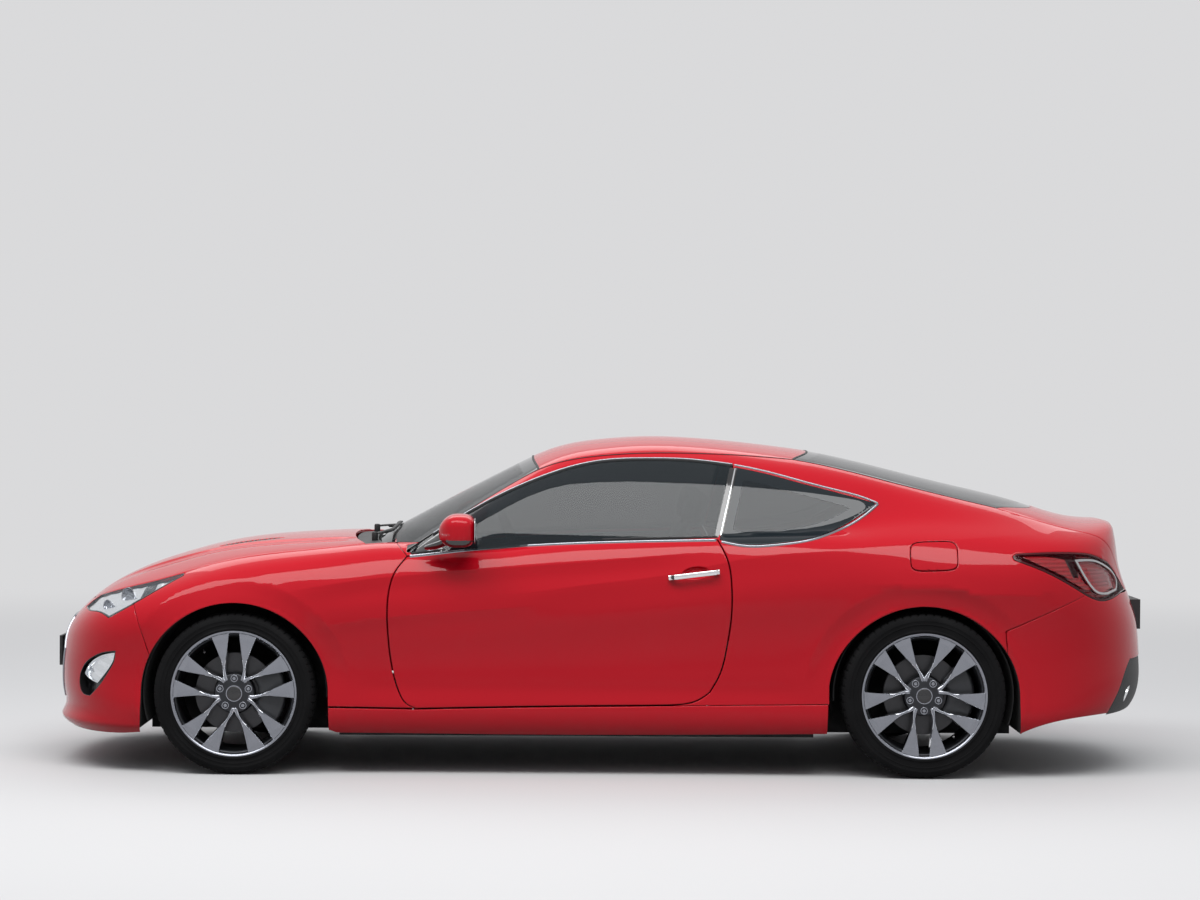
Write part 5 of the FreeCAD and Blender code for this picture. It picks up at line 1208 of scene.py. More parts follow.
def tail_lamp_ring(step=9.0):
    """The left tail lamp in the tail's numbers: lower edge, corner, the lid's side, and the top edge."""
    inner = lid_side_places(6.0, step)
    height = inner[:, 2]
    inner = on_tail(inner[(height > 752) & (height < 866)][::-1])
    return np.concatenate([
        from_side(TAIL_LAMP_SIDE, body_chart, on_tail, step)[:-1],
            from_side(TAIL_LAMP_CORNER, body_chart, on_tail, step), inner,
        from_side(TAIL_LAMP_TOP, body_chart, on_tail, step),
            from_side([(3196, 923), (3180, 910), (3186, 897)], body_chart, on_tail, 5.0)[:-1]])


def lid_side_places(out, step=9.0):
    """Places along the lid's left side line, so far outside it, from the front of the deck to the tail."""
    run = np.array([(-641, 712), (-648, 544), (-634, 440), (-600, 346), (-510, 240), (-468, 141),
        (-466, 110)], float)
    return lid_chart(traced([(y - out, arc) for y, arc in run], step))[0]


def valance_ring():
    """The rear bumper's dark part, in the tail's numbers: its slanted side edge, mirrored and closed."""
    edge = from_side([(3594, 248), (3606, 270), (3656, 357), (3689, 431), (3714, 472)], side_chart, on_tail)
    other = (edge * [-1, 1])[::-1]
    return np.concatenate(
        [edge[:-1], traced([edge[-1], other[0]], 14)[:-1], other[:-1],
        traced([other[-1], (0, 262), edge[0]], 14)[:-1]])


TIP_HEIGHT = 318.0


class Lamps:
    """Headlamps, fog lamps and tail lamps: clear lenses over shaped reflectors in dark housings."""

    def build(self):
        for name, shape, names, slot, node in (
                ("headlamp_lenses", self.head_lens(), ["clear_lens"], "lamp_lens", ("headlamps",)),
                ("headlamp_units", self.head_units(), ["lamp_black", "reflector", "clear_lens", "satin_trim"],
                "lamp_lens", ()),
                ("fog_lenses", self.fog(), ["lamp_black", "reflector", "clear_lens"], "lamp_lens",
                ("fog_lamps",)),
                ("tail_lamp_lenses", self.tail_lens(), ["smoked_lens"], "tail_lens", ("tail_lamps",)),
                ("tail_lamp_units", self.tail_units(), ["lamp_black", "red_lens", "reflector", "clear_lens"],
                "tail_lens", ())):
            pair = joined(shape, shape.mirrored())
            finish_shape(name, pair, finishes(*names), "body_shell", slot, node)

    def head_lens(self):
        return panel(ring_chart, [grown(headlamp_ring(on_ring), -2.0)], [], 11.0, 3.0, 0.6, 2.5)

    def head_units(self):
        """Black border and housing, a fluted bright bowl behind the wing, and two round units."""
        ring = headlamp_ring(on_ring)
        pieces = [ribbon(ring_chart, grown(ring, -1.5), 2.0, 56.0, 3.0, 0),
            panel(ring_chart, [grown(ring, -2.5)], [], 22.0, 3.0, 53.0, 2.0)]
        pieces.append(panel(ring_chart, [grown(ring, -3.0)], [grown(ring, -8.0)], 8.0, 2.0, 6.0,
            1.5).finished(0))

        def flutes(p):
            """Ridges across the bowl: 5 sin of the place along the lamp over 7 mm, and a step at its brow."""
            return 1.5 * np.sin(p[:, 0] / 9.0) + 8.0 * eased((p[:, 2] - 690 - (p[:, 0] + 560) * 0.32) / 30)

        bowl = panel(ring_chart, [grown(ring, -8.0)], [], 8.0, 2.0, 24.0, 2.0, flutes)
        pieces.append(bowl.finished(1))
        for x, z, radius, inset in ((-452, 716, 33, 34), (-540, 676, 20, 30)):
            point, way = side_chart(np.array([[float(x), float(z)]]))
            place = point[0] + way[0] * inset
            cup = [(radius, 10), (radius + 3, 11), (radius + 4, 8), (radius * 0.62, -18), (0, -24), (0, -20),
                (radius * 0.55, -14)]
            lens = [(0, 5), (radius * 0.5, 4), (radius * 0.86, 0), (radius * 0.86, -3), (0, -5)]
            aim = (-0.62, -0.78, 0.05)
            pieces += [aimed(turned(cup, 48, 3, 40.0), aim, place),
                aimed(turned(lens, 40, 2, 40.0), aim, place)]
        for k in range(4):
            fin = ring_chart(
                on_ring(side_chart(traced([(-395 + k * 13, 712 + k * 9), (-377 + k * 13, 768 + k * 7)], 8))[
                0]))
            pieces.append(swept(fin[0] + fin[1] * 22, -fin[1], strip_profile(5.0, 8.0, -4), False, 0))
        return joined(*pieces)

    def fog(self):
        """A dark pocket behind the bumper's opening, with a clear faceted lamp in its upper corner."""
        ring = on_nose(side_chart(loop(*FOG_POCKET, step=9))[0])
        lamp = on_nose(side_chart(loop(*FOG_LAMP, step=6))[0])
        pieces = [ribbon(nose_chart, ring, 0.5, 48.0, -3.0, 0),
            panel(nose_chart, [grown(ring, 4)], [], 20.0, 3.0, 46.0, 2.0)]
        pieces.append(ribbon(nose_chart, grown(lamp, -1), 14.0, 44.0, 3.0, 1))

        def facets(p):
            return 5.0 * np.abs(((p[:, 2] * 0.9 + p[:, 0] * 0.4) / 22.0) % 2 - 1)

        pieces.append(panel(nose_chart, [grown(lamp, -3)], [], 7.0, 2.0, 34.0, 2.0, facets).finished(1))
        pieces.append(panel(nose_chart, [grown(lamp, -1)], [], 12.0, 3.0, 12.0, 2.0).finished(2))
        return joined(*pieces)

    def tail_lens(self):
        return panel(tail_chart, [grown(tail_lamp_ring(), -2.0)], [], 10.0, 3.0, 0.4, 3.0)

    def tail_units(self):
        """Housing, a long red bar forward and a chrome-ringed round-cornered unit at the corner."""
        ring = tail_lamp_ring()
        pieces = [ribbon(tail_chart, grown(ring, -1.5), 2.0, 42.0, 3.0, 0),
            panel(tail_chart, [grown(ring, -2.5)], [], 22.0, 3.0, 38.0, 2.0)]

        def ribs(p):
            return 1.6 * np.sin(p[:, 2] / 2.6)

        def zone(run, depth, finish, relief=None, spacing=6.0):
            outline = on_tail(body_chart(loop(*run, step=7))[0])
            return panel(tail_chart, [outline], [], spacing, 2.5, depth, 3.0, relief).finished(finish)

        bar = [[(3222, 908), (3400, 829)], [(3400, 829), (3452, 800)], [(3452, 800), (3404, 896)],
            [(3404, 896), (3330, 908), (3222, 912)]]
        pieces.append(zone(bar, 12.0, 1, ribs))
        low = [[(3412, 816), (3508, 765)], [(3508, 765), (3530, 775)], [(3530, 775), (3460, 822)],
            [(3460, 822), (3412, 816)]]
        pieces.append(zone(low, 14.0, 1, ribs))
        unit_edge = [[(3446, 896), (3500, 806), (3560, 752), (3605, 748)], [(3605, 748), (3655, 760)],
            [(3655, 760), (3664, 800), (3630, 850)],
                     [(3630, 850), (3560, 888), (3446, 896)]]
        outer = on_tail(body_chart(loop(*unit_edge, step=7))[0])
        pieces.append(panel(tail_chart, [outer], [grown(outer, -9)], 8.0, 14.0, 3.5, 3.0).finished(2))
        pieces.append(panel(tail_chart, [grown(outer, -10)], [], 8.0, 2.5, 20.0, 3.0, ribs).finished(1))
        pieces.append(panel(tail_chart, [grown(outer, -34)], [], 8.0, 2.5, 9.0, 3.0).finished(3))
        rear = tail_lamp_ring()
        middle = (rear[:, 0].max() + rear[:, 0].min()) / 2
        inner = grown(rear, -12)
        pieces.append(panel(tail_chart, [inner], [grown(outer, 3), self.band(middle)], 10.0, 2.5, 24.0, 3.0,
            ribs).finished(1))
        return joined(*pieces)

    def band(self, middle):
        """The part of the lamp forward of its corner, which the bar already fills."""
        return np.array([(-2000, 600), (on_tail(body_chart(np.array([[3470.0, 850.0]]))[0])[0, 0], 600),
                         (on_tail(body_chart(np.array([[3470.0, 850.0]]))[0])[0, 0], 1000),
                         (-2000, 1000)], float)


class Trim:
    """Window surrounds, belt mouldings, seals, pillar covers, roof strips and the grille."""

    def build(self):
        width = bpy.context.scene.coupe_sizes.trim_width * 1000
        thin, wide = strip_profile(width * 0.75, 3.0), strip_profile(width * 1.25, 4.0)
        seal = strip_profile(width * 1.1, 2.5)
        self.belt(wide, seal)
        self.surround(thin, seal)
        self.pillar()
        self.roof_strips()
        self.bars()

    def belt(self, wide, seal):
        """A bright strip over a black seal under the door glass."""
        low = [(x, z - 3) for x, z in BELT_LINE]
        door = [moulding(side_chart, self.clipped(low, 712, 1968), wide, -1.5, 0),
                moulding(side_chart, self.clipped([(x, z + 8) for x, z in BELT_LINE], 716, 1970), seal, -1.0,
                    1)]
        both("belt_moulding", joined(*door), ["satin_trim", "rubber_seal"], "left_door_body", "bright_trim",
            None, "right_door_body")

    def clipped(self, points, start, end):
        """The run's rows between two stations."""
        height = smooth_line(points)
        x = np.linspace(start, end, 24)
        return np.stack([x, height(x)], -1)

    def surround(self, thin, seal):
        """The upper edge of the side glass, and the top and bottom edges of the quarter glass."""
        upper = [(x, z + 7) for x, z in PILLAR_EDGE[1:]]
        upper[0] = (800, 982)
        rear = [(2052, 1273), (2190, 1245), (2315, 1212), (2470, 1173), (2600, 1137), (2644, 1119)]
        low = [(2644, 1116), (2560, 1052), (2441, 996), (2330, 966), (2216, 951), (2082, 946), (1990, 962)]
        pieces = [moulding(body_chart, upper, thin, -1.0, 0), moulding(body_chart, rear, thin, -1.0, 0),
                  moulding(body_chart, low, strip_profile(13, 5), -1.0, 0),
                  moulding(body_chart, [(x, z - 6) for x, z in upper], seal, 1.0, 1)]
        both("window_surround", joined(*pieces), ["satin_trim", "rubber_seal"], "body_shell", "bright_trim",
            None)

    def pillar(self):
        """A gloss black cover on the pillar behind the door glass, with a slim bright line."""
        cover = loop([(1962, 975), (2032, 1262)], [(2032, 1262), (2062, 1258)], [(2062, 1258), (1994, 969)],
            [(1994, 969), (1962, 975)])
        shape = panel(glass_side_chart, [cover], [], 14.0, 2.0, -1.0, 2.0).finished(0)
        line = moulding(glass_side_chart, [(1986, 974), (2054, 1258)], strip_profile(7, 3), -1.0, 1)
        both("pillar_cover", joined(shape, line), ["black_gloss", "chrome"], "body_shell", "black_plastic",
            None)

    def roof_strips(self):
        """Black strips in the seams beside the roof, the windshield and the rear window."""
        flat = strip_profile(11, 2.0, -4)
        pieces = []
        for run in (SCREEN_SIDE, ROOF_SIDE, BACKLIGHT_SIDE):
            pieces.append(moulding(cabin_top_chart, run, flat, 0.5, 0))
        pair = joined(*pieces)
        ends = [moulding(cabin_top_chart, across(run), flat, 0.5, 0) for run in (ROOF_FRONT, ROOF_REAR)]
        shape = joined(pair, pair.mirrored(), *ends)
        finish_shape("roof_strips", shape, finishes("rubber_seal"), "body_shell", "black_plastic")

    def bars(self):
        """The grille: a bright surround, a dark mesh of bars and a black backing."""
        corners = GRILLE + GRILLE[:1]
        edge = np.concatenate([traced([corners[k], corners[k + 1]], 14)[:-1] for k in range(6)])
        place, way = front_chart(grown(edge, -5))
        pieces = [swept(place - way * 1.0, -way, strip_profile(13, 5, -8), True, 0)]
        pieces.append(panel(front_chart, [grown(edge, -2)], [], 26.0, 3.0, 34.0, 2.0).finished(1))
        pieces.append(ribbon(front_chart, grown(edge, -1), 4.0, 36.0, 3.0, 1))
        half = smooth_line([(268, 322), (369, 372), (470, 420), (541, 370), (612, 322)])
        for z in np.arange(284, 606, 23.0):
            reach = float(half(z)) - 8
            place, way = front_chart(traced([(-reach, z), (reach, z)], 20))
            pieces.append(swept(place + way * 12, -way, strip_profile(7, 7, -7), False, 2))
        for y in np.arange(-360, 361, 60.0):
            top = 604 if abs(y) < 322 else 470 + (420 - abs(y)) * 1.3
            low = 276 if abs(y) < 322 else 470 - (420 - abs(y)) * 1.9
            place, way = front_chart(traced([(y, low), (y, top)], 20))
            pieces.append(swept(place + way * 17, -way, strip_profile(5, 5, -5), False, 2))
        shape = joined(*pieces)
        finish_shape("grille_bars", shape, finishes("satin_trim", "lamp_black", "black_gloss"), "body_shell",
            "black_plastic", ("grille",))


class Outside:
    """Mirrors, door handles, wiper arms, rear valance and exhaust tips."""

    def build(self):
        self.mirror()
        self.handle()
        self.wipers()
        self.rear()

    def mirror(self):
        """A rounded shell that narrows forwards, on a black foot, with a clear strip and a rear glass."""
        def change(p):
            """Forward places move in and down: a teardrop seen from above and from the side."""
            ahead = np.clip(-p[:, 0] / 74, 0, 1) ** 2
            y = p[:, 1] * (1 - 0.30 * ahead) + 18 * ahead
            z = p[:, 2] * (1 - 0.36 * ahead) - 10 * ahead + 0.06 * p[:, 1]
            return np.stack([p[:, 0], y, z], -1)

        shell = bent(rounded_box((74, 92, 66), 3.6, 26), change)
        back = shell.points[shell.faces].mean(1)[:, 0] > 70.5
        shell.finish[back] = 1
        low = shell.points[shell.faces].mean(1)[:, 2] < -38
        shell.finish[low & ~back] = 1
        shell = shell.moved(908, -930, 1005)
        glass = rounded_box((2.0, 80, 52), 5.0, 14, 2).moved(983, -930, 1005)
        t = np.linspace(0, 1, 26)
        strip_path = np.stack(
            [850 + 78 * t - 22 * np.sin(t * np.pi), -1016 + 3 * t + 10 * (1 - t) ** 2, 991 - 4 * t], -1)
        out = np.stack([0 * t - 0.25, 0 * t - 1, 0 * t + 0.1], -1)
        strip = swept(strip_path, out, strip_profile(9, 4, -6), False, 3)
        foot_path = np.array([(800, -868, 932), (815, -890, 938), (845, -915, 950), (880, -930, 966)], float)
        foot = swept(foot_path, np.array([[0, 0, 1.0]] * 4),
            [(math.cos(a) * 34, math.sin(a) * 14) for a in np.linspace(0, 2 * np.pi, 20)[:-1]], False, 1)
        sail = panel(glass_side_chart,
            [loop([(708, 897), (844, 912)], [(844, 912), (848, 1002)], [(848, 1002), (708, 901)],
            [(708, 901), (708, 897)])],
                     [], 12.0, 4.0, -1.5, 2.5).finished(1)
        shape = joined(shell, glass, strip, foot, sail)
        both("mirror", shape, ["red_paint", "black_gloss", "mirror_glass", "clear_lens"], "left_door_body",
            "body_red", "{side}_mirror", "right_door_body")

    def handle(self):
        """A bright bar that stands off its cup on two feet, with a lock cover behind it."""
        x = np.linspace(1773, 1979, 40)
        z = 815 + (x - 1769) * 0.126
        place, way = side_chart(np.stack([x, z], -1))
        share = (x - 1773) / 206
        lift = 10 + 16 * eased(share / 0.16) * eased((1 - share) / 0.14)
        path = place - way * lift[:, None]
        bar = swept(path, -way,
            [(math.cos(a) * 10.5, math.sin(a) * 4.2) for a in np.linspace(0, 2 * np.pi, 20)[:-1]], False, 0)
        feet = []
        for spot in (1790, 1962):
            base, inward = side_chart(np.array([[float(spot), 815 + (spot - 1769) * 0.126]]))
            foot = turned([(0, -4), (11, -4), (9.5, 12), (8.5, 26), (0, 26)], 28, 1)
            feet.append(aimed(foot, -inward[0], base[0]))
        base, inward = side_chart(np.array([[1962.0, 839.3]]))
        lock = turned([(0, 26), (8.5, 26), (9.5, 30), (7.5, 31.5), (0, 31.5)], 28, 0)
        feet.append(aimed(lock, -inward[0], base[0]))
        both("door_handle", joined(bar, *feet), ["chrome", "black_gloss"], "left_door_body", "bright_trim",
            "{side}_door_handle", "right_door_body")

    def wipers(self):
        """Two arms with flat blades on rubber lips, just over the glass, and a round cap at each root."""
        pieces = []
        for root_x, root_y, tip_y in ((548, -520, 60), (520, 80, 560)):
            y = np.linspace(root_y, tip_y, 22)
            share = np.linspace(0, 1, 22)
            x = root_x + (625 - root_x) * np.minimum(1, share * 1.6) ** 0.8
            place = cabin_top_chart(np.stack([x, y], -1))[0]
            lift = 16 - 4 * share
            path = place + np.stack([0 * y, 0 * y, lift], -1)
            out = np.tile([0.0, 0.0, 1.0], (22, 1))
            arm = swept(path[:14], out[:14], [(-7, -3), (7, -3), (7, 2), (4, 5), (-4, 5), (-7, 2)], False, 0)
            blade = swept(path[5:], out[5:],
                [(-9, -5), (-2, -6), (-1.5, -10), (1.5, -10), (2, -6), (9, -5), (8, 1), (0, 3), (-8, 1)],
                False, 0)
            cap = turned([(0, -28), (13, -28), (13, 4), (10, 9), (0, 10)], 30, 0)
            pieces += [arm, blade, aimed(cap, (0, 0, 1), path[0])]
        finish_shape("wiper_blades", joined(*pieces), finishes("black_plastic"), "body_shell",
            "black_plastic", ("wipers",))

    def rear(self):
        """A dark lower valance between the tips, two bright round tips, and the pipes and silencer behind
        them.
        """
        shape = panel(tail_chart, [grown(valance_ring(), -2)], [], 16.0, 3.5, 3.0, 2.5)
        finish_shape("rear_valance", shape, finishes("black_plastic"), "body_shell", "black_plastic")
        tips = []
        for side in (-1, 1):
            outer = [(40.5, 0), (44.5, 0), (45.5, 100), (46, 128), (45, 132), (42, 132), (41, 127), (39, 110),
                (38.5, 40)]
            inner = [(0, 20), (39, 20), (39, 24), (0, 24)]
            for number, corners in ((0, outer), (1, inner)):
                tips.append(
                    aimed(turned(corners, 64, number, 35.0), (1, 0, 0), (3560, side * 590, TIP_HEIGHT)))

        def slanted(q):
            """The ends lean with the bumper: x + 0.45 (z - middle) over their last stretch."""
            return q + np.stack(
                [0.45 * (q[:, 2] - TIP_HEIGHT) * eased((q[:, 0] - 3580) / 90), 0 * q[:, 0], 0 * q[:, 0]], -1)

        finish_shape("exhaust_tips", bent(joined(*tips), slanted, 35.0), finishes("chrome", "lamp_black"),
            "body_shell", "exhaust_steel")
        pipes = [aimed(turned([(0, 0), (32, 0), (32, 2975), (0, 2975)], 40, 0, 35.0), (1, 0, 0),
            (300, 0, 192))]
        can = rounded_box((145, 350, 70), 8.0, 22)
        can.points = can.points + [3405, 0, 262]
        pipes.append(can)
        for side in (-1, 1):
            pipes.append(
                aimed(turned([(0, 0), (24, 0), (24, 285), (0, 285)], 36, 0, 35.0), (0, side, 0),
                (3460, side * 330, 300)))
            pipes.append(
                aimed(turned([(0, 0), (30, 0), (38, 60), (38, 150), (0, 150)], 40, 0, 35.0), (1, 0, 0),
                (3430, side * 590, TIP_HEIGHT)))
        finish_shape("exhaust_line", joined(*pipes), finishes("exhaust_steel"), "body_shell", "exhaust_steel",
            ("exhaust",))


class Cabin:
    """Seats, steering wheel, dashboard details, console and door cards behind the glass."""

    def build(self):
        leather, trim = finishes("seat_leather"), finishes("cabin_trim", "black_gloss", "satin_trim",
            "clear_lens")
        for name, y in (("driver_seat", -370.0), ("passenger_seat", 370.0)):
            seat = finish_shape(name + "_cushions", self.seat().moved(0, y, 0), leather, "body_shell",
                "seat_leather", (name,))
        bench = finish_shape("rear_seat_cushions", self.bench(), leather, "body_shell", "seat_leather",
            ("rear_seat",))
        finish_shape("steering_wheel_rim", self.steering(),
            finishes("seat_leather", "satin_trim", "cabin_trim"), "steering_wheel_body",
                     "wheel_leather", ("steering_wheel",))
        finish_shape("dash_details", self.dash(), trim, "body_shell", "cabin_trim")
        card = panel(side_chart, [grown(loop(*DOOR, step=26.0), -60)], [], 40.0, 12.0, 86.0, 6.0).finished(0)
        rest = rounded_box((250, 26, 34), 5.0, 16).moved(1500, -790, 700)
        both("door_card", joined(card, rest), ["cabin_trim"], "left_door_body", "cabin_trim", None,
            "right_door_body")

    def soft(self, size, place, lean=0.0, power=3.4, dish=0.0, pleats=0.0):
        """A cushion: a rounded box with a dished top, stitched ridges across it, leaned back about Y."""
        def change(p):
            u, v = p[:, 0] / size[0], p[:, 1] / size[1]
            up = np.clip(p[:, 2] / size[2], 0, 1)
            drop = dish * (1 - v ** 2) * up + pleats * up * np.abs(np.sin(u * 9.0)) * (np.abs(v) < 0.6)
            return np.stack([p[:, 0], p[:, 1], p[:, 2] - drop], -1)

        box = bent(rounded_box(size, power, 22 if pleats else 14), change)
        c, s = math.cos(math.radians(lean)), math.sin(math.radians(lean))
        return box.placed([[c, 0, s], [0, 1, 0], [-s, 0, c]], place)

    def seat(self):
        """Base, cushion with side bolsters, leaned back with bolsters, and a headrest on two posts."""
        pieces = [self.soft((255, 165, 62), (1385, 0, 410), -6, 4, 10, 5.0),
            self.soft((235, 190, 50), (1380, 0, 352), -4, 5)]
        back = 66.0
        pieces.append(self.soft((290, 165, 56), (1750, 0, 730), -back, 4, 12, 6.0))
        for side in (-1, 1):
            pieces.append(self.soft((235, 40, 62), (1375, side * 190, 428), -7, 3))
            pieces.append(self.soft((245, 40, 70), (1722, side * 180, 690), -back, 3))
        pieces.append(self.soft((72, 128, 46), (1893, 0, 1088), -74, 3.4))
        for side in (-1, 1):
            path = np.array([(1848, side * 55, 955), (1868, side * 55, 1010), (1880, side * 55, 1060)], float)
            pieces.append(
                swept(path, np.array([[1.0, 0, 0]] * 3),
                [(math.cos(a) * 6, math.sin(a) * 6) for a in np.linspace(0, 2 * np.pi, 12)[:-1]]))
        return joined(*pieces)

    def bench(self):
        pieces = []
        for side in (-1, 1):
            pieces.append(self.soft((245, 215, 58), (2225, side * 232, 440), -8, 4, 14, 5.0))
            pieces.append(self.soft((205, 215, 52), (2555, side * 232, 660), -66, 4, 10, 5.0))
        return joined(*pieces)

    def steering(self):
        """Rim, padded boss and three spokes, turned to the driver."""
        ring = turned([(182 + 14.5 * math.cos(a), 15.5 * math.sin(a))
            for a in np.linspace(0, 2 * np.pi, 18)[:-1]], 96, 0, 60.0)
        boss = rounded_box((62, 22, 54), 3.2, 18).moved(0, -8, 0).finished(2)
        pieces = [ring, boss]
        for angle, half in ((0, 20), (180, 20), (270, 24)):
            way = np.array([math.cos(math.radians(angle)), 0, math.sin(math.radians(angle))])
            r = np.linspace(50, 176, 14)
            path = way * r[:, None] + np.stack([0 * r, -10 + 8 * eased((r - 60) / 100), 0 * r], -1)
            profile = [(-half, -3), (-half * 0.6, -6), (half * 0.6, -6), (half, -3), (half, 3), (-half, 3)]
            pieces.append(swept(path, np.tile([0.0, 1.0, 0.0], (14, 1)), profile, False, 1))
        shaft = turned([(0, -185), (34, -185), (44, -60), (36, -24), (0, -24)], 32, 2)
        return aimed(joined(*pieces, shaft), (0.9135, 0, 0.4067), (1150, -370, 885))

    def dash(self):
        """Binnacle hood, screen, three vents, a centre console with its lever, and sun visors."""
        pieces = [self.soft((90, 170, 34), (905, -370, 922), -14, 3.2).finished(0),
            self.soft((8, 120, 40), (948, 0, 905), -8, 8).finished(1)]
        for y in (-600, -110, 110, 600):
            vent = turned([(0, 0), (30, 0), (36, 4), (36, 10), (30, 14), (0, 12)], 36, 2)
            pieces.append(aimed(vent, (1, 0, 0.15), (962, y, 820)))
        pieces.append(self.soft((420, 95, 70), (1450, 0, 420), 0, 6).finished(0))
        pieces.append(self.soft((160, 80, 26), (1620, 0, 505), 0, 4).finished(0))
        lever = turned([(0, 0), (9, 0), (9, 60), (21, 70), (23, 96), (14, 112), (0, 114)], 28, 2)
        pieces.append(aimed(lever, (-0.1, 0, 1), (1330, 0, 480)))
        for y in (-330, 330):
            pieces.append(self.soft((75, 165, 9), (1330, y, 1262), -16, 5).finished(0))
        return joined(*pieces)


PLAIN = (0.70, 0.70, 0.71)


class Stage:
    """A plain pale floor that runs out into a plain background, two soft lamps, and the camera."""

    def seen(self, nodes, links):
        """1 for the rays that show the backdrop: from the camera, from gloss and through glass."""
        path = nodes.new("ShaderNodeLightPath")
        total = path.outputs["Is Camera Ray"]
        for name in ("Is Glossy Ray", "Is Transmission Ray"):
            most = nodes.new("ShaderNodeMath")
            most.operation = "MAXIMUM"
            links.new(total, most.inputs[0])
            links.new(path.outputs[name], most.inputs[1])
            total = most.outputs["Value"]
        return total

    def floor_finish(self):
        """Pale near the object, where it takes the shadow, and the background's own colour from 13 m away."""
        finish = shade("pale_floor", (0.60, 0.60, 0.60), 0.75, 0.0, (60, 0.1), (0.4, 0.01),
            Specular_IOR_Level=0.1)
        nodes, links = finish.node_tree.nodes, finish.node_tree.links
        shader, surface = nodes["Principled BSDF"], nodes["Material Output"]
        varied = shader.inputs["Base Color"].links[0].from_socket
        tone = nodes.new("ShaderNodeMix")
        tone.data_type = "RGBA"
        tone.inputs["A"].default_value = (0.20, 0.20, 0.20, 1)
        links.new(varied, tone.inputs["B"])
        links.new(self.seen(nodes, links), tone.inputs["Factor"])
        links.new(tone.outputs["Result"], shader.inputs["Base Color"])
        far = nodes.new("ShaderNodeEmission")
        far.inputs["Color"].default_value = PLAIN + (1,)
        links.new(self.seen(nodes, links), far.inputs["Strength"])
        place = nodes.new("ShaderNodeTexCoord")
        reach = nodes.new("ShaderNodeVectorMath")
        reach.operation = "LENGTH"
        links.new(place.outputs["Object"], reach.inputs[0])
        fade = nodes.new("ShaderNodeMapRange")
        fade.interpolation_type = "SMOOTHSTEP"
        fade.inputs["From Min"].default_value = 3.0
        fade.inputs["From Max"].default_value = 13.0
        links.new(reach.outputs["Value"], fade.inputs["Value"])
        both_ways = nodes.new("ShaderNodeMixShader")
        links.new(fade.outputs["Result"], both_ways.inputs["Fac"])
        links.new(shader.outputs["BSDF"], both_ways.inputs[1])
        links.new(far.outputs["Emission"], both_ways.inputs[2])
        links.new(both_ways.outputs["Shader"], surface.inputs["Surface"])
        return finish

    def build(self):
        scene = bpy.context.scene
        scene.view_settings.view_transform = "Standard"
        ground = grid_shape(
            np.stack(np.meshgrid(np.linspace(-90000, 90000, 3), np.linspace(-90000, 90000, 3), [0.0],
            indexing="ij"), -1)[:, :, 0])
        floor = mesh_object("studio_floor", outward(ground), [self.floor_finish()])
        if floor.data.polygons[0].normal.z < 0:
            floor.data.flip_normals()
        world = bpy.data.worlds.new("studio_sky")
        scene.world = world
        world.use_nodes = True
        nodes, links = world.node_tree.nodes, world.node_tree.links
        sky = nodes["Background"]
        plain = self.seen(nodes, links)
        tone = nodes.new("ShaderNodeMix")
        tone.data_type = "RGBA"
        way = nodes.new("ShaderNodeTexCoord")
        parts = nodes.new("ShaderNodeSeparateXYZ")
        links.new(way.outputs["Generated"], parts.inputs["Vector"])
        ramp = nodes.new("ShaderNodeValToRGB")
        ramp.color_ramp.elements[0].position = 0.05
        ramp.color_ramp.elements[0].color = (0.13, 0.13, 0.14, 1)
        ramp.color_ramp.elements[1].position = 0.60
        ramp.color_ramp.elements[1].color = (0.66, 0.67, 0.70, 1)
        links.new(parts.outputs["Z"], ramp.inputs["Fac"])
        links.new(ramp.outputs["Color"], tone.inputs["A"])
        tone.inputs["B"].default_value = PLAIN + (1,)
        links.new(plain, tone.inputs["Factor"])
        links.new(tone.outputs["Result"], sky.inputs["Color"])
        for name, place, size, power, aim in (
                ("key", (-1.0, -4.6, 7.2), (11.0, 3.2), 640, (0, 0, 0.8)),
                ("back", (0.0, 6.5, 7.0), (10.0, 4.0), 220, (0, 0, 0.9))):
            lamp = bpy.data.lights.new(name, "AREA")
            lamp.shape, lamp.size, lamp.size_y, lamp.energy = "RECTANGLE", size[0], size[1], power
            obj = bpy.data.objects.new(name, lamp)
            obj.location = place
            obj.rotation_euler = (Vector(aim) - Vector(place)).to_track_quat("-Z", "Y").to_euler()
            scene.collection.objects.link(obj)
        camera = bpy.data.cameras.new("camera")
        camera.lens, camera.sensor_width = 95.8, 36.0
        camera.clip_end = 500
        obj = bpy.data.objects.new("camera", camera)
        obj.location = (-0.09, -13.93, 1.52)
        obj.rotation_euler = (math.radians(90 - 0.81), math.radians(-0.38), math.radians(-0.34))
        scene.collection.objects.link(obj)
        scene.camera = obj


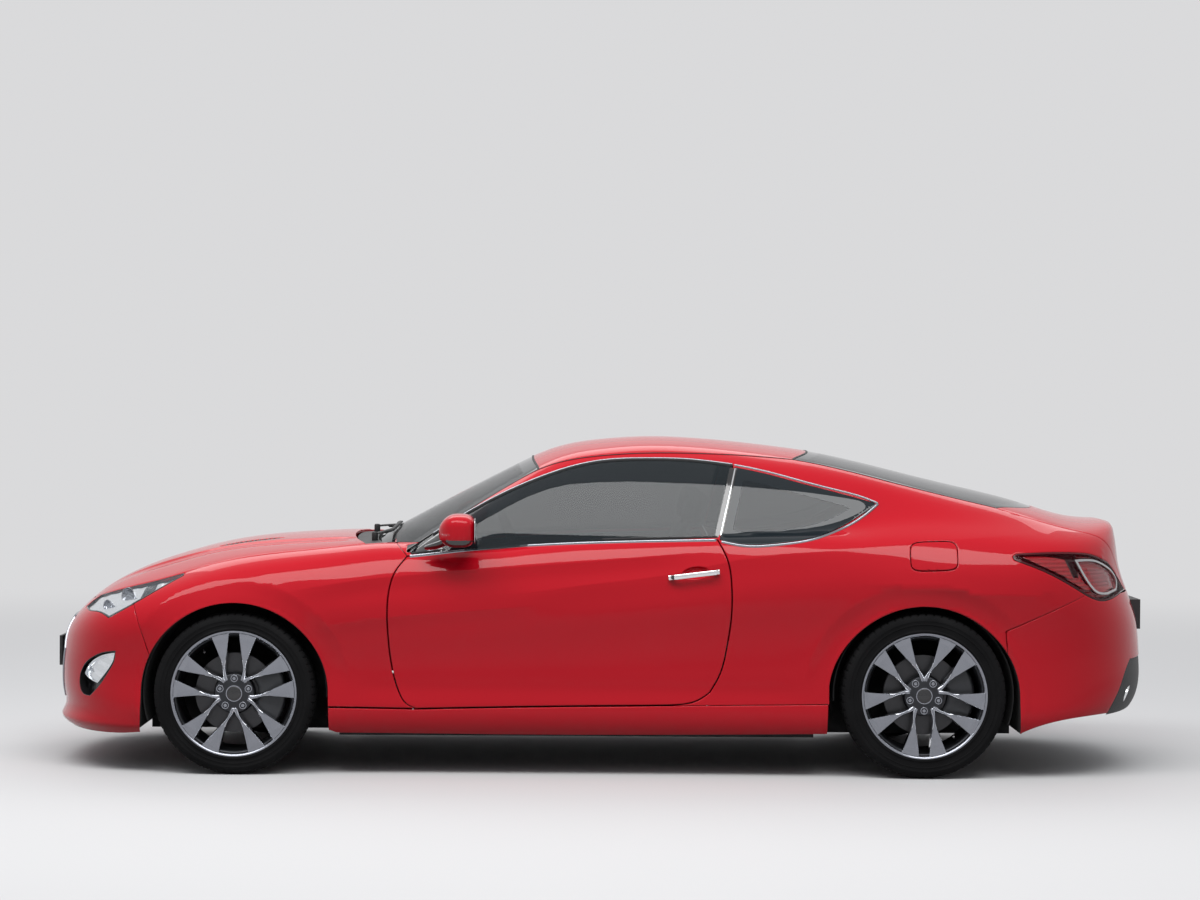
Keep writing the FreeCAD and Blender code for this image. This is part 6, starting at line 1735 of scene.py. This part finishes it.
class Panels:
    """The painted panels that don't open, and the hood, the lid and the flap."""

    def build(self):
        for side, shape in (("left", body_side_shape(True)), ("right", body_side_shape(False).mirrored())):
            finish_shape(side + "_body_side_skin", shape, finishes("red_paint"), "body_shell", "body_red",
                (side + "_body_side",))
        flap = panel(body_chart, [grown(rounded_flap(), -HALF_GAP * 0.6)], [], 12.0, 7.0, 0.0, 2.5,
            side_relief)
        finish_shape("fuel_flap_skin", flap, finishes("red_paint"), "fuel_flap_body", "body_red",
            ("fuel_flap",))
        self.fender()
        self.hood()
        self.roof()
        self.lid()
        self.front()
        self.rear()
        sill = panel(side_chart, [loop(*SILL)], [wheel_opening(*FRONT_OPENING), wheel_opening(*REAR_OPENING)],
                     18.0, 60.0, 0.0, 3.0, side_relief)
        both("sill", sill, ["red_paint"], "body_shell", "body_red", "{side}_sill")

    def fender(self):
        keep = np.concatenate([
            from_side([(x + 1, z - 1) for x, z in HEADLAMP_WING[::-1]], side_chart),
                from_side([(-419, 691), (-331, 440)], side_chart),
            from_side([(-331, 440), (-331, 292)], side_chart),
                from_side([(-331, 292), (746, 275)], side_chart),
                from_side([(x - 3, z) for x, z in DOOR_FRONT[::-1]], side_chart),
            from_side([(697, 897), (641, 955)], side_chart),
                from_top([(640, -709), (560, -709)], chart=top_chart),
            from_top([(x, y - 3) for x, y in HOOD_SIDE[::-1][:-4]], chart=top_chart)])
        rows = rows_beside(UPPER_CREASE[:4], CREASE_ROWS, to=on_ring) + rows_beside(LOWER_CREASE[:2],
            CREASE_ROWS, to=on_ring)
        cuts = [on_ring(side_chart(wheel_opening(*FRONT_OPENING))[0])]
        shape = panel(ring_chart, [keep], cuts, PANEL_SPACING, 3.0, 0.0, 3.0, side_relief, rows)
        both("fender", shape, ["red_paint"], "body_shell", "body_red", "{side}_fender")

    def hood(self):
        ring = grown(plan(HOOD_FRONT, HOOD_SIDE, HOOD_REAR), -HALF_GAP)
        crease = [(-600, -250), (-300, -330), (0, -395), (250, -430), (430, -445)]
        rows = []
        for sign in (-1, 1):
            rows += [traced([(x, sign * y) for x, y in crease], 9) + [0, off] for off in CREASE_ROWS]

        def relief(p):
            """A raised middle between two creases: 9 mm high, rising over 30 mm, and a hollow outside it."""
            edge = -smooth_line(crease)(p[:, 0])
            t = edge - np.abs(p[:, 1])
            ends = eased((p[:, 0] + 640) / 300) * eased((520 - p[:, 0]) / 160)
            return ends * (6.0 * eased((t + 14) / 28) - 4.0 * np.exp(-((t + 60) / 50) ** 2))

        vents = [oval(10, sign * 318, 138, 34, 0.0, 2.6, 110) for sign in (-1, 1)]
        shape = panel(top_chart, [ring], vents, 21.0, 14.0, 0.0, 3.0, relief, rows)
        finish_shape("hood_skin", shape, finishes("red_paint"), "hood_body", "body_red", ("hood",))
        slats = []
        for ring in vents:
            slats.append(panel(top_chart, [grown(ring, -0.6)], [], 12.0, 5.0, 4.0, 1.5, relief))
            side = np.sign(ring[0, 1])
            for x in np.arange(-100, 121, 20.0):
                half = 31 * (1 - abs((x - 10) / 140) ** 2.6) ** (1 / 2.6)
                place, way = top_chart(traced([(x - 4, side * 318 - half), (x + 4, side * 318 + half)], 12))
                lift = relief(place)[:, None]
                slats.append(swept(place - way * (lift - 2.5), -way, strip_profile(9, 2.2, -3), False, 0))
        finish_shape("hood_vents", joined(*slats), finishes("black_plastic"), "hood_body", "black_plastic")

    def roof(self):
        shape = panel(cabin_top_chart, [grown(plan(ROOF_FRONT, ROOF_SIDE, ROOF_REAR), -1.5)], [], 22.0, 4.0,
            0.0, 3.0)
        finish_shape("roof_skin", shape, finishes("red_paint"), "body_shell", "body_red", ("roof_panel",))
        lining = panel(cabin_top_chart, [grown(plan(ROOF_FRONT, ROOF_SIDE, ROOF_REAR), -8)], [], 40.0, 10.0,
            16.0, 3.0)
        finish_shape("headliner", lining, finishes("headliner"), "body_shell", "cabin_trim")
        screen = panel(screen_chart, [grown(plan(COWL_REAR, SCREEN_SIDE, ROOF_FRONT), -3)], [], 24.0, 5.0,
            1.0, 2.0)
        finish_shape("windshield_glass", screen, finishes("screen_glass"), "body_shell", "window_glass",
            ("windshield",))
        back = panel(cabin_top_chart, [grown(plan(ROOF_REAR, BACKLIGHT_SIDE, BACKLIGHT_REAR), -3)], [], 24.0,
            5.0, 1.0, 2.0)
        finish_shape("rear_window_glass", back, finishes("rear_glass"), "body_shell", "window_glass",
            ("rear_window",))
        quarter = panel(body_chart, [grown(loop(*QUARTER_GLASS), -1.0)], [], 12.0, 5.0, 4.0, 2.0)
        finish_shape("quarter_panes", joined(quarter, quarter.mirrored()), finishes("quarter_glass"),
            "body_shell", "window_glass", ("quarter_glass",))
        cowl = panel(top_chart,
            [plan([(531, -704), (486, -500), (458, -250), (452, 0)], [(531, -704), (612, -712)], COWL_REAR)],
            [], 22.0, 18.0, 10.0, 3.0)
        finish_shape("cowl_cover", cowl, finishes("black_plastic"), "body_shell", "black_plastic", ("cowl",))

    def lid(self):
        front = on_lid(cabin_top_chart(np.array([(x + 6, y) for x, y in BACKLIGHT_REAR], float))[0])
        left = np.concatenate([front[:1], np.array(LID_SIDE, float)])
        right = left[::-1] * [-1, 1]
        top = np.concatenate([front * [-1, 1], front[::-1][1:]])
        ring = loop([LID_SIDE[-1], (0, 126), tuple(right[0])], right, top, left)

        def relief(p):
            """A lip along the deck's rear edge, 9 mm high over 60 mm."""
            back = tail_x(p[:, 2]) - 0.00016 * p[:, 1] ** 2
            return 8.0 * np.exp(-((p[:, 0] - back + 10) / 46) ** 2) * eased((p[:, 2] - 980) / 50)

        shape = panel(lid_chart, [ring], [], PANEL_SPACING, 14.0, 0.0, 3.0, relief)
        finish_shape("trunk_lid_skin", shape, finishes("red_paint"), "trunk_lid_body", "body_red",
            ("trunk_lid",))

    def front(self):
        low = np.concatenate(
            [from_side([(-386, 168), (-460, 160), (-560, 156), (-700, 156)], side_chart, on_nose)])
        grille = on_nose(
            front_chart(np.concatenate(
            [traced([GRILLE[k], GRILLE[(k + 1) % 6]], 14)[:-1] for k in range(6)]))[0])
        left = np.concatenate([
            from_top([(x - 6, y) for x, y in HOOD_FRONT[::-1]], on_nose, top_chart),
                from_side([(x, z - 1) for x, z in HEADLAMP_NOSE], side_chart, on_nose),
            from_side([(-529, 629), (-421, 689)], side_chart, on_nose),
                from_side([(-421, 689), (-333, 440)], side_chart, on_nose),
                from_side([(-333, 440), (-333, 290)], side_chart, on_nose),
                from_side([(-333, 290), (-386, 168)], side_chart, on_nose), low])
        # the chart's angle grows to the right, so the left side is its mirror image
        ring = np.concatenate([left, (left * [-1, 1])[::-1]])
        fog = on_nose(side_chart(loop(*FOG_POCKET, step=9))[0])
        arch = on_nose(side_chart(wheel_opening(*FRONT_OPENING))[0])
        cuts = [grille, fog, fog * [-1, 1], arch, arch * [-1, 1]]

        def relief(p):
            off = np.hypot(p[:, 0] / (1 + FRONT_WIDER), p[:, 2] - FRONT_RADIUS) - FRONT_ARCH
            lip = 5.0 * np.exp(-((p[:, 2] - 190) / 20) ** 2)
            return 3.0 * np.exp(-((off - 20) / 16) ** 2) + lip

        shape = panel(nose_chart, [ring], cuts, 17.0, 3.0, 0.0, 3.0, relief)
        finish_shape("front_bumper_skin", shape, finishes("red_paint"), "body_shell", "body_red",
            ("front_bumper",))

    def end(self):
        """The bumper's forward edge behind the wheel arch, from its top down."""
        return np.concatenate(
            [from_side([(3153, 604), (3161, 516)], side_chart, on_tail),
            from_side([(3161, 516), (3120, 400)], side_chart, on_tail)[1:],
                               from_side([(3120, 400), (3196, 176)], side_chart, on_tail)[1:]])

    def rear(self):
        left = np.concatenate([
            from_side([(3153, 604), (3488, 749)], side_chart, on_tail),
                from_side([(x, z - 1) for x, z in TAIL_LAMP_CORNER], side_chart, on_tail)])
        top_end = left[-1]
        low = from_side([(3614, 258), (3228, 192), (3196, 176)], side_chart, on_tail)
        ring = np.concatenate(
            [left, traced([tuple(top_end), (0, 748)], 14),
            traced([(0, 748), (-top_end[0], top_end[1])], 14)[1:],
                               (left * [-1, 1])[::-1], self.end() * [-1, 1],
                               (low * [-1, 1])[::-1],
                               traced([(-low[0][0], low[0][1]), (0, 290), tuple(low[0])], 14), low,
                               self.end()[::-1]])
        arch = on_tail(side_chart(wheel_opening(*REAR_OPENING))[0])

        def relief(p):
            off = np.hypot((p[:, 0] - REAR_AXLE) / (1 + REAR_WIDER), p[:, 2] - REAR_RADIUS) - REAR_ARCH
            return 3.0 * np.exp(-((off - 20) / 16) ** 2)

        shape = panel(tail_chart, [ring], [arch, arch * [-1, 1], valance_ring()], 17.0, 3.0, 0.0, 3.0, relief)
        finish_shape("rear_bumper_skin", shape, finishes("red_paint"), "body_shell", "body_red",
            ("rear_bumper",))


# Sizes and colours that a user may change
class CoupeColours(bpy.types.PropertyGroup):
    paint: bpy.props.FloatVectorProperty(name="Paint", description="Body paint as seen on screen",
        default=(0.74, 0.0, 0.10), subtype="COLOR_GAMMA", min=0, max=1)
    wheel: bpy.props.FloatVectorProperty(name="Wheels", description="Painted faces of the wheels",
        default=(0.55, 0.56, 0.59), subtype="COLOR_GAMMA", min=0, max=1)
    seats: bpy.props.FloatVectorProperty(name="Seats", description="Seat leather",
        default=(0.12, 0.115, 0.115), subtype="COLOR_GAMMA", min=0, max=1)


class CoupeSizes(bpy.types.PropertyGroup):
    tread_depth: bpy.props.FloatProperty(name="Tread Depth", description="Depth of the tyres' grooves",
        default=0.007, min=0.0, max=0.012, unit="LENGTH")
    tread_blocks: bpy.props.IntProperty(name="Tread Blocks", description="Lateral slots round each tyre",
        default=64, min=24, max=96)
    trim_width: bpy.props.FloatProperty(name="Trim Width", description="Width of the bright window trim",
        default=0.012, min=0.004, max=0.03, unit="LENGTH")
    frit_width: bpy.props.FloatProperty(name="Frit Width",
        description="Black printed edge of the fixed glass", default=0.05, min=0.0, max=0.1, unit="LENGTH")


class COUPE_OT_panels(bpy.types.Operator):
    """Build the painted body panels"""
    bl_idname = "coupe.panels"
    bl_label = "Body Panels"

    def execute(self, context):
        Panels().build()
        return {"FINISHED"}


class COUPE_OT_doors(bpy.types.Operator):
    """Build the doors with their glass"""
    bl_idname = "coupe.doors"
    bl_label = "Doors"

    def execute(self, context):
        Doors().build()
        return {"FINISHED"}


class COUPE_OT_wheels(bpy.types.Operator):
    """Build the tyres, rims, discs and calipers"""
    bl_idname = "coupe.wheels"
    bl_label = "Wheels"

    def execute(self, context):
        Wheels().build()
        return {"FINISHED"}


class COUPE_OT_lamps(bpy.types.Operator):
    """Build the headlamps, fog lamps and tail lamps"""
    bl_idname = "coupe.lamps"
    bl_label = "Lamps"

    def execute(self, context):
        Lamps().build()
        return {"FINISHED"}


class COUPE_OT_trim(bpy.types.Operator):
    """Build the mouldings, seals, pillar covers and grille"""
    bl_idname = "coupe.trim"
    bl_label = "Trim"

    def execute(self, context):
        Trim().build()
        return {"FINISHED"}


class COUPE_OT_outside(bpy.types.Operator):
    """Build the mirrors, handles, wipers, valance and exhaust tips"""
    bl_idname = "coupe.outside"
    bl_label = "Mirrors and Handles"

    def execute(self, context):
        Outside().build()
        return {"FINISHED"}


class COUPE_OT_cabin(bpy.types.Operator):
    """Build the seats, steering wheel and dashboard details"""
    bl_idname = "coupe.cabin"
    bl_label = "Cabin"

    def execute(self, context):
        Cabin().build()
        return {"FINISHED"}


class COUPE_OT_stage(bpy.types.Operator):
    """Build the floor, sky, lamps and camera"""
    bl_idname = "coupe.stage"
    bl_label = "Stage"

    def execute(self, context):
        Stage().build()
        return {"FINISHED"}


NODE_FINISHES = {
    "underbody": "underbody", "cabin_trim": "cabin_trim", "engine_metal": "engine_metal",
        "chassis_steel": "chassis_steel", "exhaust_steel": "exhaust_steel",
    "black_plastic": "black_plastic", "bright_trim": "chrome", "tyre_rubber": "tyre_rubber",
        "rim_metal": "wheel_gunmetal", "seat_leather": "seat_leather",
    "wheel_leather": "seat_leather", "lamp_lens": "reflector", "tail_lens": "red_lens",
        "window_glass": "side_glass", "body_red": "red_paint",
}


class COUPE_OT_frame(bpy.types.Operator):
    """Give every carried-over frame node its finish"""
    bl_idname = "coupe.frame"
    bl_label = "Frame Finishes"

    def execute(self, context):
        slots = {part["node"]: part["material_slot"] for part in frame["record"]["subparts"]}
        for name, obj in frame["nodes"].items():
            finish = finishes("liner_felt" if name == "arch_liners" else NODE_FINISHES[slots[name]])[0]
            for slot in obj.material_slots:
                slot.material = finish
        return {"FINISHED"}


OPERATORS = (
    COUPE_OT_stage, COUPE_OT_frame, COUPE_OT_panels, COUPE_OT_doors, COUPE_OT_wheels, COUPE_OT_lamps,
        COUPE_OT_trim, COUPE_OT_outside, COUPE_OT_cabin)


class COUPE_PT_builder(bpy.types.Panel):
    bl_idname = "COUPE_PT_builder"
    bl_label = "Coupe"
    bl_space_type = "VIEW_3D"
    bl_region_type = "UI"
    bl_category = "Coupe"

    def draw(self, context):
        for operator in OPERATORS:
            self.layout.operator(operator.bl_idname)
        for name in ("paint", "wheel", "seats"):
            self.layout.prop(context.scene.coupe_colours, name)
        for name in ("tread_depth", "tread_blocks", "trim_width", "frit_width"):
            self.layout.prop(context.scene.coupe_sizes, name)


CLASSES = (CoupeColours, CoupeSizes) + OPERATORS + (COUPE_PT_builder,)


def register():
    for item in CLASSES:
        bpy.utils.register_class(item)
    bpy.types.Scene.coupe_colours = bpy.props.PointerProperty(type=CoupeColours)
    bpy.types.Scene.coupe_sizes = bpy.props.PointerProperty(type=CoupeSizes)


def unregister():
    del bpy.types.Scene.coupe_colours
    del bpy.types.Scene.coupe_sizes
    for item in reversed(CLASSES):
        bpy.utils.unregister_class(item)


def main():
    register()
    bpy.context.scene.name = "Scene"
    for operator in OPERATORS:
        group, name = operator.bl_idname.split(".")
        getattr(getattr(bpy.ops, group), name)()


if __name__ == "__main__":
    main()
